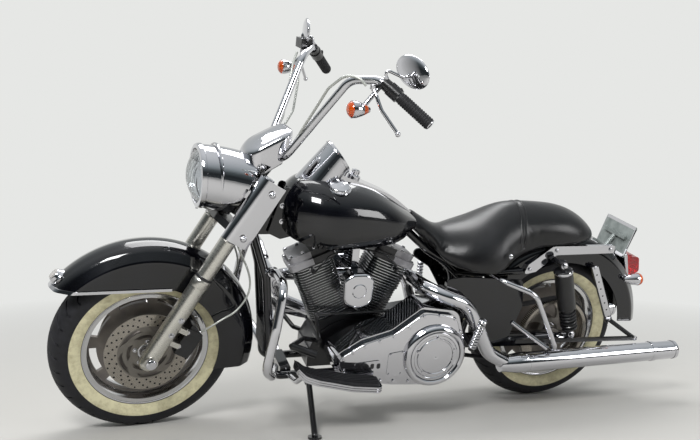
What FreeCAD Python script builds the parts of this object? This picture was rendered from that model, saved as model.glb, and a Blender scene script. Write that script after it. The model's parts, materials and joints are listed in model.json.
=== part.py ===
"""Touring cruiser motorcycle, parked on its side stand, as an assembly of separate pieces.

Lengths are millimetres and angles degrees. Every piece is drawn on the upright bike: x runs
rearward from mid wheelbase, y to the rider's right, z up from the ground. One placement then
leans the bike on its stand, and a second one first turns the fork and front wheel.
"""
import FreeCAD, Part
import math
import os
from types import SimpleNamespace
from FreeCAD import Matrix, Placement, Rotation, Vector

SIZES = (
    # name, size, what it is
    ("wheelbase", 1612, "front axle to rear axle"),
    ("lean_angle", 16.4, "lean on the side stand, to the rider's left"),
    ("steer_angle", 5.6, "turn of the fork as parked, to the left"),
    ("rake_angle", 27, "steering axis from the vertical"),
    ("fork_angle", 30.4, "fork tubes from the vertical"),
    ("tyre_radius", 322, "outer radius of both tyres"),
    ("bead_radius", 206, "where the tyre sits on the rim"),
    ("front_tyre_width", 130, "front tyre"),
    ("rear_tyre_width", 142, "rear tyre"),
    ("crown_radius", 75, "radius of the tread across the tyre"),
    ("rim_flange_radius", 217, "edge of the wheel rim"),
    ("rim_flange_width", 104, "wheel rim across its flanges"),
    ("rim_barrel_radius", 199, "inside of the rim barrel"),
    ("wheel_disc_width", 16, "cast disc between hub and rim"),
    ("hub_radius", 46, "wheel hub"),
    ("hub_width", 136, "wheel hub, end to end"),
    ("slot_inner_radius", 163, "inner edge of the long slots in the wheel disc"),
    ("slot_outer_radius", 187, "outer edge of the long slots in the wheel disc"),
    ("slot_span", 31, "angle of one slot"),
    ("slot_count", 8, "slots in a wheel disc"),
    ("rotor_radius", 146, "brake rotor"),
    ("rotor_bore_radius", 34, "hole in the brake rotor"),
    ("rotor_thickness", 5, "brake rotor"),
    ("rotor_slot_count", 5, "curved slots in a rotor"),
    ("axle_radius", 12.4, "both axles"),
    ("axle_clearance", 0.3, "between an axle and what turns on it"),
    ("running_gap", 1.5, "between a turning hub and its spacer"),
    ("pulley_radius", 150, "rear belt pulley"),
    ("pulley_width", 30, "rear belt pulley"),
    ("pulley_window_count", 5, "openings in the pulley"),
    ("belt_thickness", 6, "drive belt"),
    ("belt_width", 28, "drive belt"),
    ("belt_offset", 95, "belt centre from the bike's centre plane"),
    ("fork_spacing", 240, "between the two fork tubes"),
    ("slider_radius", 31, "fork slider"),
    ("slider_length", 335, "axle to the slider's shoulder"),
    ("dust_cover_radius", 29, "cover above the slider"),
    ("dust_cover_length", 497, "axle to the top of the dust cover"),
    ("fork_tube_radius", 20.5, "chromed fork tube"),
    ("fork_tube_length", 742, "axle to the top of the tube"),
    ("fork_cover_radius", 32, "outside of the fork cover"),
    ("fork_cover_wall", 3, "sheet of the fork cover"),
    ("fork_cover_depth", 60, "fork tube centre to the cover's rear edge"),
    ("lower_clamp_height", 522, "axle to the underside of the lower clamp, along the fork"),
    ("upper_clamp_height", 700, "axle to the underside of the upper clamp, along the fork"),
    ("clamp_thickness", 26, "both fork clamps"),
    ("stem_radius", 17, "steering stem"),
    ("neck_radius", 33, "steering neck of the frame"),
    ("lens_radius", 91, "headlamp lens"),
    ("lens_bulge", 38, "how far the headlamp lens stands out"),
    ("nacelle_radius", 107, "headlamp housing at its front"),
    ("nacelle_wall", 3, "sheet of the headlamp housing"),
    ("bar_radius", 14, "handlebar tube"),
    ("bar_half_width", 446, "centre to the end of the handlebar"),
    ("grip_radius", 18, "handlebar grip"),
    ("grip_length", 128, "handlebar grip"),
    ("front_fender_radius", 396, "front axle to the top of the fender"),
    ("front_fender_width", 168, "front fender"),
    ("rear_fender_radius", 420, "rear axle to the top of the fender"),
    ("rear_fender_width", 206, "rear fender"),
    ("fender_wall", 4, "sheet of both fenders"),
    ("trim_thickness", 4, "chrome strip on the front fender"),
    ("trim_height", 10, "chrome strip on the front fender"),
    ("tube_radius", 15, "frame tubes"),
    ("backbone_radius", 25, "frame backbone"),
    ("rail_height", 200, "centre of the lower frame rails"),
    ("rail_offset", 80, "lower frame rails from the centre plane"),
    ("cylinder_angle", 22.5, "each cylinder from the vertical"),
    ("crank_x", -70, "crankshaft centre"),
    ("crank_height", 262, "crankshaft centre above the ground"),
    ("crankcase_width", 150, "crankcase"),
    ("crankcase_radius", 150, "crankcase round the crankshaft"),
    ("barrel_base", 178, "crankshaft to the foot of the cylinder"),
    ("fin_pitch", 10.5, "between two cooling fins"),
    ("fin_thickness", 4, "cooling fin"),
    ("fin_count", 12, "cooling fins of one cylinder and head"),
    ("fin_width", 148, "cooling fins, along the bike"),
    ("fin_depth", 136, "cooling fins, across the bike"),
    ("rocker_height", 50, "rocker box"),
    ("rocker_width", 176, "rocker box, along the bike"),
    ("primary_inner", 113, "inner face of the primary case from the centre plane"),
    ("primary_outer", 246, "outer face of the primary case from the centre plane"),
    ("clutch_x", 209, "clutch centre"),
    ("clutch_height", 338, "clutch centre above the ground"),
    ("derby_radius", 96, "round clutch cover"),
    ("tunnel_half_width", 37, "tunnel under the fuel tank"),
    ("console_rise", 20, "tank console above the tank"),
    ("speedo_radius", 66, "speedometer"),
    ("seat_gap", 0.3, "between the seat and what carries it"),
    ("swingarm_offset", 133, "swingarm arm from the centre plane"),
    ("swingarm_depth", 56, "swingarm arm, top to bottom"),
    ("swingarm_width", 24, "swingarm arm, side to side"),
    ("pivot_x", 382, "swingarm pivot"),
    ("pivot_height", 330, "swingarm pivot above the ground"),
    ("shock_radius", 36, "rear shock"),
    ("shock_offset", 165, "rear shock from the centre plane"),
    ("muffler_radius", 39, "muffler"),
    ("muffler_offset", 215, "muffler from the centre plane"),
    ("pipe_radius", 27, "exhaust pipe with its shield"),
    ("guard_radius", 16, "engine guard tube"),
    ("neck_plate_offset", 42, "inner face of a neck panel from the centre plane"),
    ("neck_plate_thickness", 5, "neck panel"),
    ("regulator_width", 128, "regulator across"),
    ("regulator_fins", 11, "fins of the regulator"),
    ("board_inner", 254, "inner edge of a footboard from the centre plane"),
    ("shift_rod_offset", 100, "shift rod from the centre plane"),
    ("board_width", 92, "rider's footboard"),
    ("stand_radius", 11, "side stand leg"),
    ("stand_length", 248, "side stand pivot to foot"),
)

doc = FreeCAD.newDocument("touring_cruiser")
sheet = doc.addObject("Spreadsheet::Sheet", "Sizes")
for row, (name, value, meaning) in enumerate(SIZES, start=1):
    sheet.set(f"A{row}", name)
    sheet.set(f"B{row}", str(value))
    sheet.setAlias(f"B{row}", name)
    sheet.set(f"C{row}", meaning)
doc.recompute()
S = SimpleNamespace(**{name: float(sheet.get(name)) for name, value, meaning in SIZES})

FRONT_X = -S.wheelbase / 2
REAR_X = S.wheelbase / 2
LEFT, RIGHT = -1, 1
SIDES = (LEFT, RIGHT)
ALONG_X = Vector(1, 0, 0)
ALONG_Y = Vector(0, 1, 0)
ALONG_Z = Vector(0, 0, 1)
ORIGIN = Vector(0, 0, 0)
nodes = {}


# Outlines and wires

def outline(points):
    """Closed outline of lines and arcs from its corners in order.

    (a, b) is a sharp corner, (a, b, radius) a rounded one, and ("arc", a, b) between two
    corners bends the edge that joins them through that point.
    """
    corners = [p for p in points if p[0] != "arc"]
    bends = {}
    seen = 0
    for p in points:
        if p[0] == "arc":
            bends[seen - 1] = Vector(p[1], p[2], 0)
        else:
            seen += 1
    ends = []
    for i, corner in enumerate(corners):
        at = Vector(corner[0], corner[1], 0)
        radius = corner[2] if len(corner) > 2 else 0
        if not radius:
            ends.append((at, at, None))
            continue
        before, after = corners[i - 1], corners[(i + 1) % len(corners)]
        back = (Vector(before[0], before[1], 0) - at).normalize()
        on = (Vector(after[0], after[1], 0) - at).normalize()
        half = back.getAngle(on) / 2
        reach = radius / math.tan(half)
        centre = at + (back + on).normalize() * (radius / math.sin(half))
        middle = centre + (at - centre).normalize() * radius
        ends.append((at + back * reach, at + on * reach, middle))
    edges = []
    for i, (arrive, leave, middle) in enumerate(ends):
        if middle:
            edges.append(Part.Arc(arrive, middle, leave))
        target = ends[(i + 1) % len(ends)][0]
        if (target - leave).Length > 1e-6:
            bend = bends.get(i)
            edges.append(Part.Arc(leave, bend, target) if bend else Part.LineSegment(leave, target))
    return edges


def outline_face(points):
    """Flat face in the x-y plane inside an outline."""
    return Part.Face(Part.Wire([edge.toShape() for edge in outline(points)]))


def side_slab(points, low, high):
    """Outline in x and z, extruded across the bike from y = low to y = high."""
    face = outline_face(points)
    face.rotate(ORIGIN, ALONG_X, 90)
    face.translate(Vector(0, low, 0))
    return face.extrude(Vector(0, high - low, 0))


def plan_slab(points, low, high):
    """Outline in x and y, extruded upward from z = low to z = high."""
    face = outline_face(points)
    face.translate(Vector(0, 0, low))
    return face.extrude(Vector(0, 0, high - low))


def both_sides(half):
    """Corners of an outline that is symmetric about its first axis, from its upper half."""
    return list(half) + [(p[0], -p[1]) + tuple(p[2:]) for p in reversed(half)]


def route(points, bend):
    """Wire of straight runs joined by arcs of radius bend, or the largest that fits."""
    spots = [Vector(*p) for p in points]
    edges = []
    start = spots[0]
    for before, at, after in zip(spots, spots[1:], spots[2:]):
        back = (before - at).normalize()
        on = (after - at).normalize()
        half = back.getAngle(on) / 2
        if half > math.pi / 2 - 0.005:
            continue
        room = 0.47 * min((before - at).Length, (after - at).Length)
        radius = min(bend, room * math.tan(half))
        reach = radius / math.tan(half)
        centre = at + (back + on).normalize() * (radius / math.sin(half))
        middle = centre + (at - centre).normalize() * radius
        first, last = at + back * reach, at + on * reach
        edges.append(Part.LineSegment(start, first).toShape())
        edges.append(Part.Arc(first, middle, last).toShape())
        start = last
    edges.append(Part.LineSegment(start, spots[-1]).toShape())
    return Part.Wire(edges)


def tube(points, radius, bend=60):
    """Round bar along a route."""
    wire = route(points, bend)
    heading = (Vector(*points[1]) - Vector(*points[0])).normalize()
    ring = Part.Wire(Part.makeCircle(radius, Vector(*points[0]), heading))
    return wire.makePipeShell([ring], True, False)


def rod(start, end, radius):
    """Straight round bar between two points."""
    a, b = Vector(*start), Vector(*end)
    return Part.makeCylinder(radius, (b - a).Length, a, b - a)


def block(low, high):
    """Box between two opposite corners."""
    return Part.makeBox(high[0] - low[0], high[1] - low[1], high[2] - low[2], Vector(*low))


def fused(shapes):
    """One solid out of pieces that overlap."""
    first, rest = shapes[0], shapes[1:]
    return first.multiFuse(list(rest)).removeSplitter() if rest else first


def mirrored(points):
    """A route's points on the other side of the bike."""
    return [(p[0], -p[1], p[2]) for p in points]


def other_side(shape):
    """The same piece on the other side of the bike."""
    return shape.mirror(ORIGIN, ALONG_Y)


def ring_section(radius_in, radius_out, low, high):
    """Rectangle in the radius-y plane, for a turned ring."""
    return [(radius_in, low), (radius_out, low), (radius_out, high), (radius_in, high)]


def turned(points, centre=ORIGIN, axis=ALONG_Y, angle=360):
    """Outline in radius (x) and y turned about the axle line through centre."""
    solid = outline_face(points).revolve(ORIGIN, axis, angle)
    solid.translate(centre)
    return solid


# Placements

def steering_axis():
    rake = math.radians(S.rake_angle)
    return Vector(math.sin(rake), 0, math.cos(rake))


FRONT_AXLE = Vector(FRONT_X, 0, S.tyre_radius)
REAR_AXLE = Vector(REAR_X, 0, S.tyre_radius)
STEER = Placement(ORIGIN, Rotation(steering_axis(), S.steer_angle), FRONT_AXLE)
FORK_LINE = Placement(FRONT_AXLE, Rotation(ALONG_Y, S.fork_angle))


def lowest_of_tyre(centre, axle):
    """Lowest point of a leaning tyre, whose tread is a torus."""
    tilt = axle.z
    return centre.z - (S.tyre_radius - S.crown_radius) * math.sqrt(1 - tilt * tilt) - S.crown_radius


def parked():
    """Placement that leans the bike and sets both tyres on the ground."""
    lean = Placement(ORIGIN, Rotation(ALONG_X, S.lean_angle))
    pitch = 0.0
    for step in range(4):
        stance = Placement(ORIGIN, Rotation(ALONG_Y, pitch)).multiply(lean)
        front_turn = stance.Rotation.multiply(STEER.Rotation)
        front = lowest_of_tyre(stance.multVec(FRONT_AXLE), front_turn.multVec(ALONG_Y))
        rear = lowest_of_tyre(stance.multVec(REAR_AXLE), stance.Rotation.multVec(ALONG_Y))
        pitch += math.degrees((rear - front) / S.wheelbase)
    return Placement(Vector(0, 0, -rear), Rotation()).multiply(stance)


BIKE = parked()
FORK = BIKE.multiply(STEER)


def upright(label, base=None):
    """A kept piece of the chassis, moved back to where it stands on the upright bike."""
    made = nodes[label].Shape.copy()
    made.Placement = (base or BIKE).inverse().multiply(made.Placement)
    return made


def keep(label, made, base):
    """Give a piece its node name and its place on the parked bike."""
    if isinstance(made, Part.Shape):
        piece = doc.addObject("Part::Feature", label)
        piece.Shape = made
        base = base.multiply(made.Placement)
    else:
        piece = made
    piece.Label = label
    piece.Placement = base
    nodes[label] = piece
    return piece


# Part design bodies

def new_body(name):
    return doc.addObject("PartDesign::Body", name)


def new_sketch(body, name, role, edges, lift=0):
    """Sketch on one of the body's origin planes, moved along its normal by lift."""
    sketch = body.newObject("Sketcher::SketchObject", name)
    planes = {plane.Role: plane for plane in body.Origin.OriginFeatures}
    sketch.AttachmentSupport = [(planes[role], "")]
    sketch.MapMode = "FlatFace"
    sketch.AttachmentOffset = Placement(Vector(0, 0, lift), Rotation())
    for edge in edges:
        sketch.addGeometry(edge)
    return sketch


def circle(radius, a=0.0, b=0.0):
    return Part.Circle(Vector(a, b, 0), ALONG_Z, radius)


def revolution(body, name, sketch, axis="V_Axis"):
    feature = body.newObject("PartDesign::Revolution", name)
    feature.Profile = sketch
    feature.ReferenceAxis = (sketch, [axis])
    feature.Angle = 360
    return feature


def pad(body, name, sketch, length, midplane=False, reverse=False):
    """Extruded sketch, whose length is a cell's name or a number."""
    feature = body.newObject("PartDesign::Pad", name)
    feature.Profile = sketch
    if isinstance(length, str):
        feature.setExpression("Length", length)
    else:
        feature.Length = length
    feature.Midplane = midplane
    feature.Reversed = reverse
    return feature


def through_pocket(body, name, sketch):
    feature = body.newObject("PartDesign::Pocket", name)
    feature.Profile = sketch
    feature.Type = "ThroughAll"
    feature.Midplane = True
    return feature


def round_pattern(body, name, feature, sketch, count_cell):
    """Repeat a feature round the sketch's normal, as many times as the cell says."""
    pattern = body.newObject("PartDesign::PolarPattern", name)
    pattern.Originals = [feature]
    pattern.Axis = (sketch, ["N_Axis"])
    pattern.Angle = 360
    pattern.setExpression("Occurrences", f"Sizes.{count_cell}")
    body.Tip = pattern
    return pattern


def arc_window(inner, outer, start, span, sweep=0.0):
    """Window between two radii, from start over span; sweep turns its outer edge further on."""
    def at(radius, angle, extra):
        turn = math.radians(angle + extra)
        return (radius * math.cos(turn), radius * math.sin(turn))
    half = start + span / 2
    middle = (inner + outer) / 2
    corners = [at(inner, start, 0), ("arc",) + at(inner, half, 0), at(inner, start + span, 0),
               at(outer, start + span, sweep), ("arc",) + at(outer, half, sweep), at(outer, start, sweep)]
    if sweep:
        corners.insert(3, ("arc",) + at(middle, start + span, sweep * 0.38))
        corners.append(("arc",) + at(middle, start, sweep * 0.38))
    return outline(corners)


# Wheels

def tyre(name, width):
    """Ring from the bead seat out to the round tread."""
    half = width / 2
    shoulder = half * 0.76
    crown_centre = S.tyre_radius - S.crown_radius
    shoulder_radius = crown_centre + math.sqrt(S.crown_radius ** 2 - shoulder ** 2)
    bulge_radius = S.tyre_radius * 0.83
    flange = S.rim_flange_width / 2
    upper = [(S.bead_radius, flange - 8), (S.rim_flange_radius, flange - 6),
             (S.rim_flange_radius, flange + 2), ("arc", bulge_radius - 20, half - 1.2),
             (bulge_radius, half, 0), ("arc", (bulge_radius + shoulder_radius) / 2 + 2, half - 4.5),
             (shoulder_radius, shoulder)]
    lower = [p if p[0] != "arc" else p for p in upper]
    flipped = []
    for p in reversed(lower):
        flipped.append(("arc", p[1], -p[2]) if p[0] == "arc" else (p[0], -p[1]))
    section = upper + [("arc", S.tyre_radius, 0)] + flipped
    body = new_body(name)
    revolution(body, name + "_turned", new_sketch(body, name + "_section", "XY_Plane", outline(section)))
    return body


def wheel(name):
    """Cast wheel: rim barrel with flanges, disc with long slots, hub bored for the axle."""
    flange, barrel = S.rim_flange_width / 2, S.rim_barrel_radius
    disc, hub = S.wheel_disc_width / 2, S.hub_width / 2
    bore = S.axle_radius + S.axle_clearance
    half = [(bore, hub), (S.hub_radius, hub, 4), (S.hub_radius + 8, disc, 10), (barrel, disc, 10),
            (barrel, flange - 2), (S.rim_flange_radius, flange, 2),
            (S.rim_flange_radius, flange - 6), (S.bead_radius, flange - 8), ]
    body = new_body(name)
    section = new_sketch(body, name + "_section", "XY_Plane", outline(both_sides_radial(half)))
    revolution(body, name + "_turned", section)
    doc.recompute()
    window = arc_window(S.slot_inner_radius, S.slot_outer_radius, 0, S.slot_span)
    slot = new_sketch(body, name + "_slot", "XZ_Plane", window)
    cut = through_pocket(body, name + "_slot_cut", slot)
    round_pattern(body, name + "_slots", cut, slot, "slot_count")
    return body


def both_sides_radial(half):
    """Section in radius and y, symmetric about the wheel's centre plane."""
    return list(half) + [(p[0], -p[1]) + tuple(p[2:]) for p in reversed(half)]


def rotor_shape(centre, face_y):
    """Brake rotor with curved slots, its inner face at face_y on the given axle."""
    away = math.copysign(S.rotor_thickness, face_y)
    disc = Part.makeCylinder(S.rotor_radius, S.rotor_thickness, ORIGIN, ALONG_Y)
    disc = disc.cut(Part.makeCylinder(S.rotor_bore_radius, S.rotor_thickness, ORIGIN, ALONG_Y))
    step = 360 / S.rotor_slot_count
    for i in range(int(S.rotor_slot_count)):
        for inner, outer, shift in ((58, 70, 0), (84, 97, 30)):
            wire = Part.Wire([e.toShape() for e in arc_window(inner, outer, i * step + shift, 46, 14)])
            face = Part.Face(wire)
            face.rotate(ORIGIN, ALONG_X, 90)
            disc = disc.cut(face.extrude(Vector(0, 2 * S.rotor_thickness, 0)))
            disc = disc.cut(face.extrude(Vector(0, -2 * S.rotor_thickness, 0)))
    disc.translate(centre + Vector(0, min(face_y, face_y + away), 0))
    return disc


def pulley(name):
    """Belt pulley with curved windows, its web flat against the hub."""
    body = new_body(name)
    inner = S.belt_offset - S.pulley_width / 2
    outer = S.belt_offset + S.pulley_width / 2
    web = S.hub_width / 2
    section = [(S.rotor_bore_radius, -web), (S.rotor_bore_radius, -web - 10, 2),
               (S.pulley_radius - 22, -web - 10, 4), (S.pulley_radius - 14, -outer, 3),
               (S.pulley_radius, -outer), (S.pulley_radius, -inner), (S.pulley_radius - 12, -inner, 3),
               (S.pulley_radius - 16, -web, 4)]
    sketch = new_sketch(body, name + "_section", "XY_Plane", outline(section))
    revolution(body, name + "_turned", sketch)
    doc.recompute()
    window = arc_window(S.rotor_bore_radius + 24, S.pulley_radius - 26, 0, 44, 22)
    slot = new_sketch(body, name + "_window", "XZ_Plane", window)
    cut = through_pocket(body, name + "_window_cut", slot)
    round_pattern(body, name + "_windows", cut, slot, "pulley_window_count")
    return body


def make_wheels():
    front, rear = Placement(FRONT_AXLE, Rotation()), Placement(REAR_AXLE, Rotation())
    keep("front_tyre", tyre("front_tyre", S.front_tyre_width), FORK.multiply(front))
    keep("front_wheel", wheel("front_wheel"), FORK.multiply(front))
    discs = [rotor_shape(FRONT_AXLE, side * S.hub_width / 2) for side in SIDES]
    keep("front_rotors", Part.makeCompound(discs), FORK)
    keep("rear_tyre", tyre("rear_tyre", S.rear_tyre_width), BIKE.multiply(rear))
    keep("rear_wheel", wheel("rear_wheel"), BIKE.multiply(rear))
    keep("rear_pulley", pulley("rear_pulley"), BIKE.multiply(rear))
    keep("rear_rotor", rotor_shape(REAR_AXLE, S.hub_width / 2), BIKE)


# Fork, headlamp and front fender. These are drawn on the fork line where it says so: its z runs
# up along the tubes from the axle and its x square to them, rearward.

TUBE_Y = S.fork_spacing / 2
FENDER_HALF = S.front_fender_width / 2
LUG_HEIGHTS = (215, 300)
CALIPER_LUGS = (84, 140)
CALIPER_FRONT = 66


def axis_on_fork_line(height):
    """How far the steering axis lies behind the tubes, at a height along the fork line."""
    return -height * math.tan(math.radians(S.fork_angle - S.rake_angle))


def fork_leg(side):
    """Slider with axle boss, fender lugs and caliper lugs, and the tube above it."""
    bore = S.axle_radius + S.axle_clearance
    section = [(0, -36), (20, -36, 6), (S.slider_radius - 1, -22, 6), (S.slider_radius, 40),
               (S.slider_radius, S.slider_length), (S.dust_cover_radius, S.slider_length + 6),
               (S.dust_cover_radius, S.dust_cover_length, 3), (S.fork_tube_radius, S.dust_cover_length),
               (S.fork_tube_radius, S.fork_tube_length), (0, S.fork_tube_length)]
    face = outline_face(section)
    face.rotate(ORIGIN, ALONG_X, 90)
    leg = face.revolve(ORIGIN, ALONG_Z, 360)
    boss = Part.makeCylinder(24, 66, Vector(0, -33, 0), ALONG_Y)
    reach = TUBE_Y - FENDER_HALF
    lugs = [Part.makeCylinder(9, reach, Vector(6, 0, at), Vector(0, -side, 0)) for at in LUG_HEIGHTS]
    arms = [block((10, -18, at - 9), (CALIPER_FRONT, 4, at + 9)) if side > 0 else
            block((10, -4, at - 9), (CALIPER_FRONT, 18, at + 9)) for at in CALIPER_LUGS]
    leg = fused([leg, boss] + lugs + arms)
    leg = leg.cut(Part.makeCylinder(bore, 80, Vector(0, -40, 0), ALONG_Y))
    leg.translate(Vector(0, side * TUBE_Y, 0))
    return leg


def clamp_plate(height):
    """Plate that grips both tubes and carries the stem."""
    stem_x = axis_on_fork_line(height)
    grip = S.fork_cover_radius - S.fork_cover_wall - 0.3
    bar = plan_slab([(stem_x - 26, -40, 20), (stem_x - 26, 40, 20), (-grip + 6, TUBE_Y),
                     (grip - 6, TUBE_Y), (26, 0), (grip - 6, -TUBE_Y), (-grip + 6, -TUBE_Y)],
                    height, height + S.clamp_thickness)
    rings = [Part.makeCylinder(grip, S.clamp_thickness, Vector(0, side * TUBE_Y, height))
             for side in SIDES]
    plate = fused([bar] + rings)
    for side in SIDES:
        plate = plate.cut(Part.makeCylinder(S.fork_tube_radius, 2 * S.clamp_thickness,
                                            Vector(0, side * TUBE_Y, height - 5)))
    return plate


def on_fork_line(shape):
    """Move a shape drawn on the bike onto the fork line's own axes."""
    moved = shape.copy()
    moved.Placement = FORK_LINE.inverse().multiply(moved.Placement)
    return moved


def steering_rod(radius, low, high):
    """Bar along the steering axis between two heights along the fork line."""
    lean = math.radians(S.fork_angle - S.rake_angle)
    heading = Vector(-math.sin(lean), 0, math.cos(lean))
    length = (high - low) / math.cos(lean)
    return Part.makeCylinder(radius, length, heading * (low / math.cos(lean)), heading)


def fork_cover(side):
    """Chrome cover: half round in front of the tube, flat behind it, with two acorn bolts."""
    out, wall, back = S.fork_cover_radius, S.fork_cover_wall, S.fork_cover_depth
    inner, slant = out - wall, math.sqrt(0.5)
    section = [(-out, 0), ("arc", -out * slant, out * slant), (0, out), (back, out),
               (back, inner), (0, inner), ("arc", -inner * slant, inner * slant), (-inner, 0)]
    low, high = S.dust_cover_length + 2, S.fork_tube_length + 2
    cover = plan_slab(section, low, high)
    bolts = [Part.makeCylinder(8, 5, Vector(26, out, at), ALONG_Y) for at in (low + 32, high - 36)]
    caps = [Part.makeSphere(6.5, Vector(26, out + 5, at)) for at in (low + 32, high - 36)]
    cover = fused([cover] + bolts + caps)
    if side == LEFT:
        cover = other_side(cover)
    cover.translate(Vector(0, side * TUBE_Y, 0))
    return cover


LAMP_X, LAMP_Z = -643, 942
NECK_SPACE = 8


def disc_wire(radius, centre, normal, squash=1.0):
    """Circle, or an ellipse narrower across the bike than it is tall when squash is under 1."""
    if squash == 1.0:
        return Part.Wire(Part.makeCircle(radius, centre, normal))
    ellipse = Part.Ellipse(ORIGIN, radius, radius * squash)
    edge = ellipse.toShape()
    turn = Rotation(ALONG_Z, normal)
    edge.Placement = Placement(centre, turn)
    return Part.Wire(edge)


def nacelle_skin(inset):
    """Loft from the headlamp's ring back to the fork covers."""
    back = FORK_LINE.multVec(Vector(-S.fork_cover_radius - 0.5, 0, 664))
    back_normal = FORK_LINE.Rotation.multVec(ALONG_X)
    middle_x = LAMP_X + 62
    wires = [disc_wire(S.nacelle_radius - inset, Vector(LAMP_X + 8, 0, LAMP_Z), ALONG_X),
             disc_wire(S.nacelle_radius + 4 - inset, Vector(middle_x, 0, LAMP_Z - 10),
                       Vector(0.97, 0, -0.24)),
             disc_wire(TUBE_Y - 7 - inset, back, back_normal)]
    return Part.makeLoft(wires, True, False)


def nacelle():
    """Headlamp housing with its ring and reflector."""
    shell = nacelle_skin(0).cut(nacelle_skin(S.nacelle_wall))
    lens, front = S.lens_radius, LAMP_X
    ring = [(lens, 0), (lens + 2, -4), (S.nacelle_radius, -2, 3), (S.nacelle_radius + 2, 8),
            (S.nacelle_radius - S.nacelle_wall - 1, 8), (lens - 2, 8), (lens - 2, 4)]
    bowl = [(lens - 2, 8), (lens - 2, 4), (70, 26, 30), (30, 52), (14, 56), (14, 60), (34, 58),
            (74, 32, 30)]
    pieces = [shell]
    for section in (ring, bowl):
        made = turned(section)
        made.rotate(ORIGIN, ALONG_Z, -90)
        made.translate(Vector(front, 0, LAMP_Z))
        pieces.append(made)
    for side in SIDES:
        low, high = sorted((side * 98, side * 124))
        lug = block((-42, low, 650), (-24, high, 678)).cut(fork_cover(side))
        lug = lug.cut(Part.makeCylinder(S.fork_cover_radius, 800, Vector(0, side * TUBE_Y, 0)))
        lug.Placement = FORK_LINE.multiply(lug.Placement)
        pieces.append(lug)
    neck_space = steering_rod(S.neck_radius + NECK_SPACE, 300, 700)
    neck_space.Placement = FORK_LINE.multiply(neck_space.Placement)
    return fused(pieces).cut(neck_space)


def headlamp_lens():
    """Domed glass, 4 thick, seated in the ring."""
    radius, bulge, glass = S.lens_radius - 0.2, S.lens_bulge, 4
    ball = (radius ** 2 + bulge ** 2) / (2 * bulge)
    sink = ball - bulge

    def on_ball(size, angle):
        return (size * math.sin(angle), sink - size * math.cos(angle))
    outer, inner = math.asin(radius / ball), math.acos(sink / (ball - glass))
    dome = turned([(0, -bulge), ("arc",) + on_ball(ball, outer / 2), (radius, 0),
                   ((ball - glass) * math.sin(inner), 0), ("arc",) + on_ball(ball - glass, inner / 2),
                   (0, glass - bulge)])
    dome.rotate(ORIGIN, ALONG_Z, -90)
    dome.translate(Vector(LAMP_X, 0, LAMP_Z))
    return dome


BAR_LOW = (-380, 88, 1018)
BAR_TOP = (-222, 226, 1328)
BAR_OUT = (-158, 317, 1346)
BAR_END = (-39, S.bar_half_width, 1241)


def bar_direction():
    return (Vector(*BAR_END) - Vector(*BAR_OUT)).normalize()


def on_bar(back, side):
    """Point on the handlebar, back from its end."""
    spot = Vector(*BAR_END) - bar_direction() * back
    return Vector(spot.x, side * spot.y, spot.z)


def bar_heading(side):
    way = bar_direction()
    return Vector(way.x, side * way.y, way.z)


def bar_points():
    right = [(BAR_LOW[0], 0.0, BAR_LOW[2]), BAR_LOW, BAR_TOP, BAR_OUT, BAR_END]
    return mirrored(right[:0:-1]) + right[1:]


def clamp_cover():
    """Long oval cover over the handlebar clamp."""
    side = [(-494, 984, 20), (-498, 1040, 18), (-342, 1121, 12), (-330, 1096, 14), (-376, 994, 30),
            (-436, 958, 30)]
    half = 74
    skin = side_slab(side, -half, half)
    plan = plan_slab([(-505, -30, 28), (-470, -half, 30), (-350, -half, 30), (-322, -40, 30),
                      (-322, 40, 30), (-350, half, 30), (-470, half, 30), (-505, 30, 28)], 900, 1200)
    skin = skin.common(plan)
    hollow = [(-480, 940), (-486, 1030), (-344, 1104), (-340, 1090), (-384, 940)]
    inside = side_slab(hollow, -half + 12, half - 12)
    return skin.cut(inside)


def grip(side):
    end = on_bar(-3, side)
    barrel = Part.makeCylinder(S.grip_radius, S.grip_length, end, bar_heading(side) * -1)
    core = Part.makeCylinder(S.bar_radius, S.grip_length + 20, on_bar(0, side), bar_heading(side) * -1)
    return barrel.cut(core)


def hand_control(side):
    """Switch housing and lever perch round the bar; the right one carries a fluid box."""
    start = S.grip_length
    housing = Part.makeCylinder(23, 40, on_bar(start, side), bar_heading(side) * -1)
    perch = Part.makeCylinder(20, 24, on_bar(start + 42, side), bar_heading(side) * -1)
    seat = on_bar(start + 54, side)
    arm = rod(tuple(seat), (seat.x - 34, seat.y, seat.z - 6), 9)
    joiner = rod(tuple(on_bar(start + 30, side)), tuple(on_bar(start + 50, side)), 19)
    pieces = [housing, perch, arm, joiner]
    if side == RIGHT:
        pieces.append(block((seat.x - 62, seat.y - 30, seat.z + 4), (seat.x - 18, seat.y + 34, seat.z + 40)))
    bar = tube(bar_points(), S.bar_radius, 75)
    return fused(pieces).cut(bar)


def lever(side):
    """Hand lever with a ball end."""
    seat = on_bar(S.grip_length + 54, side)
    start = Vector(seat.x - 44, seat.y, seat.z - 8)
    way = bar_heading(side)
    points = [start, start + way * 34 + Vector(-14, 0, -8), start + way * 72 + Vector(-26, 0, -24),
              start + way * 150 + Vector(-30, 0, -46)]
    bar = tube([tuple(p) for p in points], 6, 60)
    return fused([bar, Part.makeSphere(9, points[-1]), Part.makeCylinder(10, 12, start - Vector(0, 0, 6))])


MIRROR_LEFT, MIRROR_RIGHT = (-64, -338, 1380), (-176, 344, 1398)


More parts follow.
